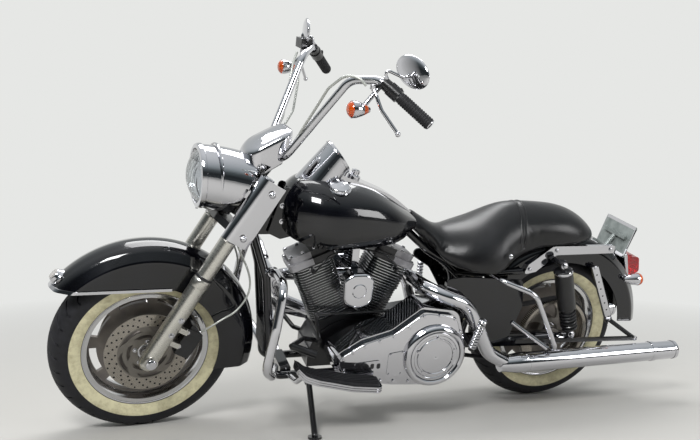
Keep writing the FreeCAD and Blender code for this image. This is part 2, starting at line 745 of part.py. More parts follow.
def mirror(side):
    """Tear-drop mirror on a bent stem."""
    seat = on_bar(S.grip_length + 54, side)
    seat = Vector(seat.x - 4, seat.y, seat.z + 18)
    centre = Vector(*(MIRROR_LEFT if side == LEFT else MIRROR_RIGHT))
    stem = tube([tuple(seat), (seat.x - 4, seat.y, seat.z + 30), (centre.x - 20, centre.y, centre.z - 22),
                 (centre.x - 8, centre.y, centre.z - 4)], 5, 40)
    ball = Part.makeSphere(1, ORIGIN)
    form = Matrix()
    form.scale(14, 80, 50)
    head = ball.transformGeometry(form)
    glass_side = block((4, -90, -60), (40, 90, 60))
    head = head.cut(glass_side)
    head.rotate(ORIGIN, ALONG_Z, side * -14)
    head.rotate(ORIGIN, ALONG_X, side * -8)
    head.translate(centre)
    return fused([stem, head])


SIGNAL = (-274, 350, 1260)


def bullet(centre, heading, radius, length):
    """Turn signal: a lens in front of a rounded housing that tapers behind it."""
    section = [(0, 0), ("arc", radius * 0.72, 4), (radius, 16), (radius, 24),
               ("arc", radius * 0.82, length * 0.62), (radius * 0.3, length), (0, length)]
    made = turned(section)
    made.Placement = Placement(Vector(*centre), Rotation(ALONG_Y, heading))
    return made


def front_signal(side):
    centre = (SIGNAL[0], side * SIGNAL[1], SIGNAL[2])
    lamp = bullet(centre, ALONG_X, 26, 72)
    seat = on_bar(S.grip_length + 54, side)
    stem = rod((centre[0] + 44, centre[1], centre[2]), (seat.x - 20, seat.y, seat.z - 4), 7)
    return fused([lamp, stem])


def fender_section(radius, width, wall, side_radius, shoulder):
    """Crowned section of a fender in radius and y, as a sheet of one thickness."""
    half = width / 2
    inner, inner_half = radius - wall, half - wall
    outer = [(side_radius, half), (radius - shoulder, half, 22), (radius - 12, half - 30, 40)]
    under = [(side_radius, inner_half), (radius - shoulder, inner_half, 20),
             (inner - 12, inner_half - 28, 38)]
    flip = lambda line: [(p[0], -p[1]) + tuple(p[2:]) for p in reversed(line)]
    return outer + [(radius, 14, 60), (radius, -14, 60)] + flip(outer) + under_side(under, inner)


def under_side(under, inner):
    """Inner face of a fender's section, back from one edge to the other."""
    flipped = [(p[0], -p[1]) + tuple(p[2:]) for p in under]
    return flipped + [(inner, -14, 56), (inner, 14, 56)] + [tuple(p) for p in reversed(under)]


FENDER_LINE = (-420, 250, 81, 235)
VALANCE_RADIUS = 250
SKIRT_HEIGHT = -88


def front_fender_region(grow=0.0):
    """Side view of what the front fender covers, about the axle."""
    drop = math.sqrt(VALANCE_RADIUS ** 2 - SKIRT_HEIGHT ** 2)
    corner = math.sqrt(VALANCE_RADIUS ** 2 - FENDER_LINE[3] ** 2)
    half = math.atan2(FENDER_LINE[3], corner) / 2 + math.atan2(SKIRT_HEIGHT, drop) / 2
    return [(FENDER_LINE[0], FENDER_LINE[1]), (corner, FENDER_LINE[3]),
            ("arc", VALANCE_RADIUS * math.cos(half), VALANCE_RADIUS * math.sin(half)),
            (drop, SKIRT_HEIGHT), (450, SKIRT_HEIGHT), (450, 450), (-450, 450)]


def front_fender():
    section = fender_section(S.front_fender_radius, S.front_fender_width, S.fender_wall, 230, 52)
    ring = turned(section)
    return ring.common(side_slab(front_fender_region(), -200, 200))


def fender_trim():
    """Chrome strip along the fender's lower edge and round its nose."""
    grown = fender_section(S.front_fender_radius + S.trim_thickness,
                           S.front_fender_width + 2 * S.trim_thickness, S.trim_thickness, 230, 52)
    ring = turned(grown)
    full = turned(fender_solid_section())
    x0, z0, x1, z1 = FENDER_LINE
    band = side_slab([(x0, z0), (x1 - 6, z1), (x1 - 6, z1 + S.trim_height), (x0, z0 + S.trim_height)],
                     -200, 200)
    return ring.cut(full).common(band)


def fender_solid_section():
    """The fender's outline filled down to the axle side, to cut what seats on it."""
    half = S.front_fender_width / 2
    radius = S.front_fender_radius
    outer = [(200, half), (radius - 52, half, 22), (radius - 12, half - 30, 40)]
    flip = [(p[0], -p[1]) + tuple(p[2:]) for p in reversed(outer)]
    return outer + [(radius, 14, 60), (radius, -14, 60)] + flip


def tip_lamp():
    """Small lamp on the nose of the front fender."""
    lamp = turned([(0, 0), (30, 0, 3), (31, 9, 3), (26, 14, 3), (20, 26, 8), (0, 30)])
    spot = math.radians(136)
    heading = Vector(math.cos(spot), 0, math.sin(spot))
    lamp.Placement = Placement(heading * (S.front_fender_radius - 8), Rotation(ALONG_Y, heading))
    return lamp.cut(turned(fender_solid_section()))


def caliper(side):
    """Brake caliper astride the rotor, drawn on the fork line."""
    low_y, high_y = 46, 116
    form = plan_slab([(CALIPER_FRONT, low_y, 4), (CALIPER_FRONT, high_y, 8), (128, high_y, 14),
                      (128, low_y, 8)], 52, 172)
    reach = Part.makeCylinder(190, 400, Vector(0, -200, 0), ALONG_Y)
    hollow = Part.makeCylinder(S.rotor_radius + 6, 17, Vector(0, 62, 0), ALONG_Y)
    made = form.common(reach).cut(hollow)
    return made if side == RIGHT else other_side(made)


def front_axle():
    """Axle with its spacers and end nuts."""
    out = TUBE_Y + 33
    spacer = S.hub_width / 2 + S.rotor_thickness + S.running_gap
    pieces = [Part.makeCylinder(S.axle_radius, 2 * out + 8, Vector(0, -out - 4, 0), ALONG_Y)]
    for side in SIDES:
        pieces.append(Part.makeCylinder(20, TUBE_Y - 33 - spacer, Vector(0, side * spacer, 0),
                                        Vector(0, side, 0)))
        nut = turned([(0, 0), (19, 0), (19, 10, 3), (13, 14), (0, 14)])
        if side == LEFT:
            nut = other_side(nut)
        nut.translate(Vector(0, side * out, 0))
        pieces.append(nut)
    return fused(pieces)


HOSE_ROUTE = ((-650, 92, 384), (-604, 112, 418), (-556, 112, 450), (-504, 100, 467), (-457, 92, 533),
              (-459, 80, 603), (-500, 58, 690), (-534, 48, 776))
CLUTCH_ROUTE = ((-212, -330, 1330), (-232, -312, 1352), (-266, -280, 1350), (-300, -240, 1300),
                (-318, -196, 1226), (-336, -148, 1150), (-352, -104, 1078), (-372, -60, 1024))
THROTTLE_ROUTES = (((-196, 322, 1318), (-208, 308, 1282), (-214, 282, 1215), (-246, 218, 1122),
                    (-300, 150, 1080), (-372, 62, 1036)),
                   ((-214, 322, 1322), (-236, 296, 1280), (-262, 246, 1192), (-298, 178, 1106),
                    (-352, 104, 1060), (-384, 52, 1040)))
HOSE_RADIUS = 3.5
CABLE_RADIUS = 4.5


def brake_hose(side):
    """Hose from the caliper up to the lower clamp."""
    points = [(x, side * y, z) for x, y, z in HOSE_ROUTE]
    first, last = Vector(*points[0]), Vector(*points[-1])
    ends = [rod(tuple(first), tuple(first + (Vector(*points[1]) - first) * 0.55), 6),
            rod(tuple(last), tuple(last + (Vector(*points[-2]) - last) * 0.4), 6)]
    return fused([tube(points, HOSE_RADIUS, 30)] + ends)


def bar_cables():
    """Clutch cable on the left of the bars and two cables on the right, into the clamp cover."""
    routes = [CLUTCH_ROUTE] + list(THROTTLE_ROUTES)
    return [tube(route, CABLE_RADIUS, 60) for route in routes]


def make_fork():
    on_line = FORK.multiply(FORK_LINE)
    at_axle = FORK.multiply(Placement(FRONT_AXLE, Rotation()))
    keep("fork_legs", Part.makeCompound([fork_leg(side) for side in SIDES]), on_line)
    stem = steering_rod(S.stem_radius, S.lower_clamp_height + 2, S.upper_clamp_height + 34)
    clamps = fused([clamp_plate(S.lower_clamp_height), clamp_plate(S.upper_clamp_height), stem])
    covers = [fork_cover(side) for side in SIDES]
    keep("fork_covers", Part.makeCompound(covers), on_line)
    covered = clamps.copy()
    covered.Placement = FORK_LINE.multiply(covered.Placement)
    keep("nacelle", nacelle().cut(covered), FORK)
    keep("headlamp_lens", headlamp_lens(), FORK)
    bar = tube(bar_points(), S.bar_radius, 75)
    keep("handlebar", bar, FORK)
    shroud = clamp_cover().cut(tube(bar_points(), S.bar_radius + 2, 75)).cut(covered)
    keep("bar_clamp_cover", shroud.cut(nacelle_skin(-0.3)), FORK)
    feet = [FORK_LINE.multVec(Vector(4, side * 40, S.upper_clamp_height + S.clamp_thickness)) for side in SIDES]
    risers = [rod(tuple(foot), (-380, foot.y, 1018), 14).cut(bar) for foot in feet]
    keep("fork_clamps", fused([covered] + risers), FORK)
    keep("grips", Part.makeCompound([grip(side) for side in SIDES]), FORK)
    controls = [hand_control(side) for side in SIDES]
    keep("hand_controls", Part.makeCompound(controls), FORK)
    levers = [lever(side).cut(control) for side, control in zip(SIDES, controls)]
    keep("levers", Part.makeCompound(levers), FORK)
    mirrors = [mirror(side).cut(control) for side, control in zip(SIDES, controls)]
    keep("mirrors", Part.makeCompound(mirrors), FORK)
    lamps = [front_signal(side).cut(control).cut(blade).cut(bar)
             for side, control, blade in zip(SIDES, controls, levers)]
    keep("front_signals", Part.makeCompound(lamps), FORK)
    keep("front_fender", front_fender(), at_axle)
    trim = fender_trim()
    keep("fender_trim", fused([trim, tip_lamp()]), at_axle)
    pads = [caliper(side) for side in SIDES]
    keep("calipers", Part.makeCompound(pads), on_line)
    hoses = []
    for side, pad in zip(SIDES, pads):
        seated = pad.copy()
        seated.Placement = FORK_LINE.multiply(seated.Placement)
        hoses.append(brake_hose(side).cut(seated).cut(covered))
    keep("brake_hoses", Part.makeCompound(hoses), FORK)
    cables = []
    for cable in bar_cables():
        for piece in controls + lamps + [bar, shroud]:
            cable = cable.cut(piece)
        cables.append(max(cable.Solids, key=lambda solid: solid.Volume))
    keep("bar_cables", Part.makeCompound(cables), FORK)
    keep("front_axle", front_axle(), at_axle)


# Frame and swingarm

BACKBONE = ((-440, 0, 812), (150, 0, 743))


def backbone_height(x):
    (x0, y0, z0), (x1, y1, z1) = BACKBONE
    return z0 + (z1 - z0) * (x - x0) / (x1 - x0)


def frame():
    """Cradle frame: neck, backbone, two loops round the engine and the seat rails."""
    off, low, r = S.rail_offset, S.rail_height, S.tube_radius
    neck = steering_rod(S.neck_radius, S.lower_clamp_height + S.clamp_thickness + 6,
                        S.upper_clamp_height - 6)
    neck.Placement = FORK_LINE.multiply(neck.Placement)
    gusset = side_slab([(-548, 828), (-500, 922), (-440, 905, 20), (-330, 880, 12), (-300, 800),
                        (-330, 735), (-430, 735, 20), (-500, 800)], -30, 30)
    pieces = [neck, gusset, rod(*BACKBONE, S.backbone_radius)]
    for side in SIDES:
        loop = [(-452, side * 20, 770), (-396, side * 76, 590), (-358, side * off, low + 20),
                (-330, side * off, low), (352, side * off, low), (398, side * 57, 262),
                (398, side * 57, 540), (300, side * 56, 628), (230, side * 40, 668), (140, side * 14, 744)]
        out = S.rear_fender_width / 2 + r - 2
        rail = [(345, side * 58, 585), (440, side * 96, 592), (500, side * out, 600), (602, side * out, 604)]
        pieces += [tube(loop, r, 90), tube(rail, r - 2, 90)]
    for x in (-300, -30, 240):
        pieces.append(block((x - 20, -off, low - 8), (x + 20, off, low + 8)))
        pieces.append(block((x - 20, -off + 6, low), (x + 20, off - 6, CASE_FLOOR)))
    pieces.append(rod((S.pivot_x, -62, S.pivot_height), (S.pivot_x, 62, S.pivot_height), 30))
    tunnel = S.tunnel_half_width
    for x in (-270, 60):
        pieces.append(rod((x, -tunnel, backbone_height(x)), (x, tunnel, backbone_height(x)), 9))
    shell = fused(pieces)
    stem_hole = steering_rod(S.stem_radius + S.axle_clearance, 400, 900)
    stem_hole.Placement = FORK_LINE.multiply(stem_hole.Placement)
    axle = rod((S.pivot_x, -200, S.pivot_height), (S.pivot_x, 200, S.pivot_height), 14)
    return shell.cut(stem_hole).cut(axle)


def swingarm():
    """Two arms, a pivot tube that joins them and the blocks that hold the axle."""
    off, half, deep = S.swingarm_offset, S.swingarm_width / 2, S.swingarm_depth / 2
    x0, z0, z1 = S.pivot_x, S.pivot_height, S.tyre_radius
    pieces = [rod((x0, -off, z0), (x0, off, z0), 13.7)]
    for side in SIDES:
        low, high = sorted((side * (off - half), side * (off + half)))
        pieces.append(side_slab([(x0 - 34, z0 - 26, 24), (x0 - 34, z0 + 26, 24), (REAR_X - 60, z1 + deep),
                                 (REAR_X + 52, z1 + deep - 8, 18), (REAR_X + 52, z1 - deep + 8, 18),
                                 (REAR_X - 60, z1 - deep)], low, high))
    arm = fused(pieces)
    return arm.cut(rod((REAR_X, -200, z1), (REAR_X, 200, z1), S.axle_radius + S.axle_clearance))


def rear_axle():
    """Axle with its spacers and end nuts."""
    off, half = S.swingarm_offset, S.swingarm_width / 2
    out = off + half
    right = S.hub_width / 2 + S.rotor_thickness + S.running_gap
    left = S.hub_width / 2 + 10 + S.running_gap
    inner = off - half
    pieces = [Part.makeCylinder(S.axle_radius, 2 * out + 8, Vector(0, -out - 4, 0), ALONG_Y)]
    pieces.append(Part.makeCylinder(20, inner - right, Vector(0, right, 0), ALONG_Y))
    pieces.append(Part.makeCylinder(20, inner - left, Vector(0, -inner, 0), ALONG_Y))
    for side in SIDES:
        nut = turned([(0, 0), (21, 0), (21, 10, 3), (14, 16), (0, 16)])
        if side == LEFT:
            nut = other_side(nut)
        nut.translate(Vector(0, side * out, 0))
        pieces.append(nut)
    return fused(pieces)


def shock(side):
    """Rear shock between its upper stud and the swingarm."""
    top, bottom = Vector(748, side * S.shock_offset, 646), Vector(838, side * S.shock_offset, 352)
    way = (bottom - top).normalize()
    length = (bottom - top).Length
    section = [(0, -16), (15, -16, 4), (15, 18), (S.shock_radius, 22, 5), (S.shock_radius, length * 0.62, 3),
               (S.shock_radius - 9, length * 0.64), (S.shock_radius - 9, length - 20, 3), (13, length - 16),
               (13, length + 16, 4), (0, length + 16)]
    body = turned(section)
    body.Placement = Placement(top, Rotation(ALONG_Y, way))
    inner = S.swingarm_offset + S.swingarm_width / 2
    foot = rod((bottom.x, side * inner, bottom.z), (bottom.x, side * S.shock_offset, bottom.z), 10)
    head = rod((top.x, side * (S.rear_fender_width / 2 + 17), top.z), tuple(top), 10)
    return fused([body, foot, head])


NECK_PLATE = ((-396, 745), (-344, 916, 14), (-312, 905, 10), (-296, 800), (-302, 735), (-350, 722, 12))


def neck_cover(side):
    """Panel on the side of the neck, below the front of the tank."""
    inner = S.neck_plate_offset
    low, high = sorted((side * inner, side * (inner + S.neck_plate_thickness)))
    plate = side_slab(NECK_PLATE, low, high)
    foot = rod((-372, side * 20, 800), (-372, side * (inner + 1), 800), 9)
    return fused([plate, foot])


def regulator():
    """Finned block on the front downtubes, its fins facing forward."""
    half, low, high = S.regulator_width / 2, 285, 395
    body = block((-366, -half, low), (-344, half, high))
    fins = []
    for k in range(int(S.regulator_fins)):
        y = -half + 3 + k * (2 * half - 6) / (S.regulator_fins - 1)
        fins.append(block((-390, y - 1.6, low + 6), (-360, y + 1.6, high - 6)))
    return fused([body] + fins)


def make_frame():
    bracket = stand_bracket()
    keep("frame", fused([frame(), bracket]), BIKE)
    keep("regulator", regulator().cut(upright("frame")), BIKE)
    keep("swingarm", swingarm(), BIKE)
    keep("rear_axle", rear_axle(), BIKE.multiply(Placement(REAR_AXLE, Rotation())))
    keep("rear_shocks", Part.makeCompound([shock(side) for side in SIDES]), BIKE)


# Engine and drive

CASE_FLOOR = 226


def cylinder_frame(side):
    """Placement with its z up a cylinder's axis from the crankshaft; side -1 is the front one."""
    return Placement(Vector(S.crank_x, 0, S.crank_height), Rotation(ALONG_Y, side * S.cylinder_angle))


def fin_plate(height, width, depth):
    half_w, half_d = width / 2, depth / 2
    corner = 34
    face = outline_face([(-half_w, -half_d, corner), (half_w, -half_d, corner),
                         (half_w, half_d, corner), (-half_w, half_d, corner)])
    face.translate(Vector(0, 0, height))
    return face.extrude(Vector(0, 0, S.fin_thickness))


def cylinder(side):
    """Barrel and head with cooling fins round a solid core."""
    base = S.barrel_base
    top = base + S.fin_pitch * S.fin_count * 1.75
    core = Part.makeCylinder(56, top - base, Vector(0, 0, base))
    pieces = [core]
    count = int(S.fin_count * 1.75)
    for i in range(count):
        height = base + 4 + i * S.fin_pitch
        grow = 0 if i < S.fin_count else 6
        pieces.append(fin_plate(height, S.fin_width + grow, S.fin_depth + grow))
    head = fused(pieces)
    head.Placement = cylinder_frame(side)
    return head


def cylinder_top():
    return S.barrel_base + S.fin_pitch * S.fin_count * 1.75


def rocker_box(side):
    """Two-step rocker box on the head, its outer end bright and its inner part black."""
    half_w, half_d, foot = S.rocker_width / 2, S.fin_depth / 2, cylinder_top()
    low = plan_slab([(-half_w, -half_d, 16), (half_w, -half_d, 16), (half_w, half_d, 16),
                     (-half_w, half_d, 16)], foot, foot + S.rocker_height * 0.5)
    high = plan_slab([(-half_w + 10, -half_d + 10, 20), (half_w - 10, -half_d + 10, 20),
                      (half_w - 10, half_d - 10, 20), (-half_w + 10, half_d - 10, 20)],
                     foot, foot + S.rocker_height)
    return fused([low, high])


def rocker_parts(side):
    """The bright outer part of a rocker box and the black inner one."""
    box = rocker_box(side)
    split = -side * S.rocker_width * 0.02
    inner = block((min(split, -side * 200), -200, 0), (max(split, -side * 200), 200, 600))
    parts = [box.cut(inner), box.common(inner)]
    for part in parts:
        part.Placement = cylinder_frame(side)
    return parts


def crankcase():
    """Crankcase round the crankshaft, with a deck under each cylinder."""
    half = S.crankcase_width / 2
    x, z = S.crank_x, S.crank_height
    drum = Part.makeCylinder(S.crankcase_radius, 2 * half, Vector(x, -half, z), ALONG_Y)
    pieces = [drum]
    for side in SIDES:
        deck = block((-72, -half + 4, 60), (72, half - 4, S.barrel_base))
        deck.Placement = cylinder_frame(side)
        pieces.append(deck)
    pieces.append(block((x - 150, -half, CASE_FLOOR), (x + 160, half, z + 40)))
    floor = block((x - 400, -200, 0), (x + 400, 200, CASE_FLOOR))
    return fused(pieces).cut(floor)


def gearbox():
    """Gearbox behind the crankcase, on the oil pan."""
    front = S.crank_x + 162
    box = side_slab([(front, CASE_FLOOR), (front, 400, 20), (300, 430, 30), (338, 360, 20),
                     (338, 300, 20), (290, CASE_FLOOR, 20)], -70, 72)
    sprocket = rod((S.clutch_x, -70, S.clutch_height),
                   (S.clutch_x, -S.belt_offset - S.belt_width / 2, S.clutch_height), SPROCKET_RADIUS)
    return fused([box, sprocket])


PRIMARY = ((-176, 343, 46), (-73, 408, 30), (40, 440, 40), (150, 522, 30), (292, 500, 46),
           (346, 350, 90), (250, 202, 90), (60, 216, 30), (-94, 243, 40), (-160, 280, 30))


def primary_cover():
    """Long primary case with a raised rim and the clutch bulge."""
    case = side_slab(PRIMARY, -S.primary_outer + 14, -S.primary_inner)
    inset = [(-160, 340, 38), (-68, 396, 26), (45, 428, 36), (152, 508, 24), (284, 488, 40),
             (334, 350, 84), (246, 214, 84), (60, 228, 26), (-90, 255, 34), (-146, 286, 26)]
    face = side_slab(inset, -S.primary_outer, -S.primary_outer + 14)
    front = side_slab([(-150, 300, 20), (-60, 380, 20), (60, 380, 20), (60, 240, 20), (-120, 250, 20)],
                      -S.primary_inner, -S.crankcase_width / 2)
    bulge = Part.makeCylinder(S.derby_radius + 24, 14, Vector(S.clutch_x, -S.primary_outer, S.clutch_height),
                              Vector(0, -1, 0))
    slot = side_slab([(-96, 286, 14), (-96, 322, 14), (4, 330, 14), (4, 290, 14)],
                     -S.primary_outer - 6, -S.primary_outer)
    hatch = side_slab([(30, 262, 10), (30, 352, 10), (92, 362, 10), (92, 262, 10)],
                      -S.primary_outer - 6, -S.primary_outer)
    return fused([case, face, front, bulge, slot, hatch])


def derby_cover():
    """Round clutch cover with a raised rim and five bolts."""
    face = -S.primary_outer - 14
    radius = S.derby_radius
    cover = turned([(0, 0), (radius, 0), (radius, 8, 3), (radius - 10, 10, 2), (radius - 13, 7), (0, 9)])
    cover = other_side(cover)
    bolts = []
    for i in range(5):
        spot = math.radians(90 + 72 * i)
        bolts.append(Part.makeCylinder(6, 12, Vector((radius - 22) * math.cos(spot), 0,
                                                     (radius - 22) * math.sin(spot)), Vector(0, -1, 0)))
    made = fused([cover] + bolts)
    made.translate(Vector(S.clutch_x, face, S.clutch_height))
    return made


def cam_cover():
    """Timing cover on the right with the pushrod tubes up to both rocker boxes."""
    half = S.crankcase_width / 2
    x, z = S.crank_x, S.crank_height
    cover = side_slab([(x - 140, z - 20, 40), (x - 100, z + 110, 40), (x + 40, z + 130, 40),
                       (x + 130, z + 60, 40), (x + 120, z - 30, 40)], half, half + 46)
    disc = Part.makeCylinder(56, 8, Vector(x - 20, half + 46, z + 30), ALONG_Y)
    pieces = [cover, disc]
    for side in SIDES:
        lift = cylinder_frame(side)
        for shift in (-26, 26):
            foot = lift.multVec(Vector(shift * 0.5 - side * 30, half + 18, 100))
            head = lift.multVec(Vector(shift - side * 6, half + 12, cylinder_top() + 4))
            pieces.append(rod(tuple(foot), tuple(head), 9))
    return fused(pieces)


def air_cleaner():
    """Round air cleaner on the right of the engine."""
    made = turned([(0, 0), (76, 0, 6), (84, 12, 8), (84, 44, 14), (66, 58, 12), (0, 60)])
    made.translate(Vector(S.crank_x + 4, S.fin_depth / 2 + 48, 560))
    neck = rod((S.crank_x + 4, 20, 560), (S.crank_x + 4, S.fin_depth / 2 + 52, 560), 22)
    inlet = rod((S.crank_x - 70, 24, 560), (S.crank_x + 70, 24, 560), 20)
    return fused([made, neck, inlet])


def horn():
    """Horn under its shield-shaped cover, hung from the backbone on a bent strap."""
    side = [(-132, 612, 22), (-104, 632, 16), (-62, 632, 16), (-34, 612, 22), (-34, 520, 16),
            (-83, 504, 30), (-132, 520, 16)]
    cover = side_slab(side, -168, -118)
    drum = rod((-83, -118, 570), (-83, -86, 570), 36)
    strap = [block((-96, -112, 600), (-70, -106, 716)), block((-96, -112, 710), (-70, 4, 716)),
             block((-96, -4, 710), (-70, 4, backbone_height(-83) - S.backbone_radius + 2))]
    spine = rod(*BACKBONE, S.backbone_radius)
    return fused([cover, drum] + strap).cut(spine)


SPROCKET_RADIUS = 45


def drive_belt():
    """Belt loop from the gearbox sprocket back round the rear pulley."""
    gap = S.running_gap
    front, back = SPROCKET_RADIUS, S.pulley_radius + gap
    low, high = -S.belt_offset - S.belt_width / 2, -S.belt_offset + S.belt_width / 2

    def loop(grow):
        a, b = Vector(S.clutch_x, S.clutch_height, 0), Vector(REAR_X, S.tyre_radius, 0)
        ra, rb = front + grow, back + grow
        span = (b - a).Length
        tilt = math.atan2(b.y - a.y, b.x - a.x)
        wrap = math.acos((ra - rb) / span)

        def at(centre, radius, angle):
            return (centre.x + radius * math.cos(tilt + angle), centre.y + radius * math.sin(tilt + angle))
        return [at(a, ra, wrap), at(b, rb, wrap), ("arc",) + at(b, rb, 0), at(b, rb, -wrap),
                at(a, ra, -wrap), ("arc",) + at(a, ra, math.pi)]
    return side_slab(loop(S.belt_thickness), low, high).cut(side_slab(loop(0), low, high))


def make_engine():
    keep("crankcase", crankcase(), BIKE)
    barrels = [fused([cylinder(side), rocker_parts(side)[1]]).cut(crankcase()) for side in SIDES]
    keep("cylinders", Part.makeCompound(barrels), BIKE)
    keep("rocker_boxes", Part.makeCompound([rocker_parts(side)[0] for side in SIDES]), BIKE)
    keep("gearbox", gearbox(), BIKE)
    keep("primary_cover", primary_cover(), BIKE)
    keep("derby_cover", derby_cover(), BIKE)
    keep("cam_cover", cam_cover(), BIKE)
    inlet = air_cleaner()
    for barrel in barrels:
        inlet = inlet.cut(barrel)
    keep("air_cleaner", inlet, BIKE)
    keep("horn", horn(), BIKE)
    keep("drive_belt", drive_belt(), BIKE)


# Tank, seat and rear fender

TANK_SECTIONS = (
    # x, half width, floor, widest level, top
    (-348, 50, 774, 824, 872),
    (-332, 92, 750, 822, 904),
    (-296, 136, 734, 820, 938),
    (-214, 177, 717, 816, 954),
    (-100, 171, 716, 810, 938),
    (20, 144, 719, 798, 893),
    (110, 102, 738, 788, 838),
    (158, 64, 764, 784, 806),
)
CROWN_SPREAD = 25


def dome_section(x, half, floor, wide, top):
    """Cross-section: flat floor, sides out to the widest level and a crown of three smooth arcs."""
    turn = math.radians(CROWN_SPREAD)
    s, c = math.sin(turn), math.cos(turn)
    crown = (half * c - (top - wide) * (1 - s)) / (s * c - (1 - c) * (1 - s))
    side = (half - crown * s) / (1 - s)
    middle = (math.pi / 2 + turn) / 2
    joint = (crown * s, top - crown * (1 - c))
    bend = (half - side + side * math.sin(middle), wide + side * math.cos(middle))
    points = []
    if wide > floor:
        points += [(half * 0.84, floor), ("arc", half * 0.965, floor + (wide - floor) * 0.38)]
    points += [(half, wide), ("arc",) + bend, joint]
    left = []
    for point in reversed(points):
        left.append(("arc", -point[1], point[2]) if point[0] == "arc" else (-point[0], point[1]))
    face = outline_face(points + [("arc", 0, top)] + left)
    place = Placement(Vector(x, 0, 0), Rotation(ALONG_Y, ALONG_Z, ALONG_X, "XYZ"))
    wire = face.OuterWire
    wire.Placement = place
    return wire


def fuel_tank():
    """Both lobes as one smooth body over the tunnel for the backbone."""
    tank = Part.makeLoft([dome_section(*section) for section in TANK_SECTIONS], True, False)
    half = S.tunnel_half_width
    clear = S.backbone_radius + 0.5
    (x0, y0, z0), (x1, y1, z1) = BACKBONE
    tunnel = side_slab([(-500, 600), (-500, z0 + clear + 60), (-330, z0 + clear + 60), (-300, z0 + clear - 14),
                        (x1 + 40, z1 + clear - 4), (x1 + 40, 600)], -half, half)
    return tank.cut(tunnel)


def tank_console():
    """Chrome console down the middle of the tank, with the speedometer's housing."""
    rise = S.console_rise
    strip = side_slab([(-250, 930), (-250, 964), (-190, 958 + rise, 90), (60, 868 + rise * 0.8, 300),
                       (156, 806 + rise * 0.3), (156, 780), (60, 800)], -60, 60)
    plan = plan_slab(both_sides([(-252, 62, 30), (-110, 54, 60), (60, 34, 60), (156, 14, 8)]), 700, 1200)
    strip = strip.common(plan)
    face_way = Vector(0.8, 0, 0.6)
    face = Part.Wire(Part.makeCircle(S.speedo_radius, Vector(-152, 0, 1012), face_way))
    foot_edge = Part.Ellipse(ORIGIN, 88, 74).toShape()
    foot_edge.Placement = Placement(Vector(-216, 0, 930), Rotation())
    housing = Part.makeLoft([Part.Wire(foot_edge), face], True, False)
    rim = Part.makeCylinder(S.speedo_radius, 6, Vector(-152, 0, 1012), face_way)
    return fused([strip, housing, rim])


CAP_TILT = 24


def fuel_cap(side):
    cap = turned([(0, 0), (36, 0), (38, 6, 3), (34, 15, 5), (16, 20, 6), (0, 20)])
    cap.rotate(ORIGIN, ALONG_X, 90 - side * CAP_TILT)
    cap.translate(Vector(-166, side * 100, 925))
    return cap


def rear_fender():
    section = fender_section(S.rear_fender_radius, S.rear_fender_width, S.fender_wall, 306, 48)
    ring = turned(section)
    region = side_slab([(-330, 150), (-330, 420), (-200, 500), (450, 500), (450, 34), (300, 40),
                        (200, 200), (0, 270), (-240, 230)], -200, 200)
    return ring.common(region)


def rear_fender_core(grow):
    """Filled fender outline about the rear axle, larger by grow, for what sits on it."""
    half = S.rear_fender_width / 2 + grow
    radius = S.rear_fender_radius + grow
    outer = [(0, half), (radius - 48, half, 22), (radius - 12, half - 30, 40)]
    flip = [(p[0], -p[1]) + tuple(p[2:]) for p in reversed(outer)]
    return turned(outer + [(radius, 14, 60), (radius, -14, 60)] + flip, REAR_AXLE)


SEAT_SECTIONS = (
    # x, half width, floor, widest level, top
    (158.3, 54, 764, 764, 828),
    (186, 68, 732, 732, 811),
    (215, 84, 702, 702, 788),
    (284, 128, 646, 646, 752),
    (350, 166, 622, 622, 762),
    (427, 182, 612, 612, 786),
    (486, 176, 620, 620, 816),
    (536, 154, 646, 646, 838),
    (600, 134, 676, 676, 845),
    (700, 130, 702, 702, 841),
    (800, 128, 712, 712, 829),
    (876, 112, 716, 716, 801),
    (924, 80, 722, 722, 766),
    (940, 54, 730, 730, 747),
)
SEAT_PAN = ((150, 500), (150, 757), (172, 752), (240, 694), (310, 656), (400, 640), (470, 620), (470, 500))


def seat():
    """Two-up saddle: nose, deep rider's part and a raised pillion pad, crowned all along."""
    cushion = Part.makeLoft([dome_section(*section) for section in SEAT_SECTIONS], True, False)
    cushion = cushion.cut(rear_fender_core(S.seat_gap))
    return cushion.cut(side_slab(SEAT_PAN, -90, 90))


def fender_strut(side):
    """Chrome cover over the fender support."""
    face = S.rear_fender_width / 2
    low, high = sorted((side * face, side * (face + 16)))
    return side_slab([(612, 590, 8), (628, 630, 10), (726, 704, 30), (1010, 704, 8), (1010, 672, 8),
                      (744, 668, 30), (664, 600, 10)], low, high)


def tail_lamp():
    """Tail lamp and its chrome foot on the back of the fender."""
    lens = side_slab([(1130, 630, 10), (1190, 628, 16), (1204, 562, 16), (1172, 552, 10)], -56, 56)
    foot = side_slab([(1110, 642, 6), (1146, 642, 6), (1172, 548, 6), (1140, 534, 6)], -62, 62)
    return fused([lens, foot]).cut(rear_fender_core(0))


def rear_signals():
    """Bar across the fender with a bullet lamp at each end."""
    z, x = 556, 1106
    pieces = [rod((x, -112, z), (x, 112, z), 10)]
    for side in SIDES:
        pieces.append(bullet((x + 62, side * 120, z), Vector(-1, 0, 0), 25, 84))
    return fused(pieces).cut(rear_fender_core(0))


def plate_holder():
    """Number plate, blank, on a bracket that stands on the fender."""
    plate = block((-2, -96, -66), (2, 96, 66))
    plate.rotate(ORIGIN, ALONG_Y, 16)
    plate.translate(Vector(1096, 0, 706))
    bar = block((-12, -70, -7), (-2, 70, 7))
    bar.rotate(ORIGIN, ALONG_Y, 16)
    bar.translate(Vector(1096, 0, 716))
    strut = rod((1040, 0, 640), (1092, 0, 712), 9)
    return fused([plate, bar, strut]).cut(rear_fender_core(0))


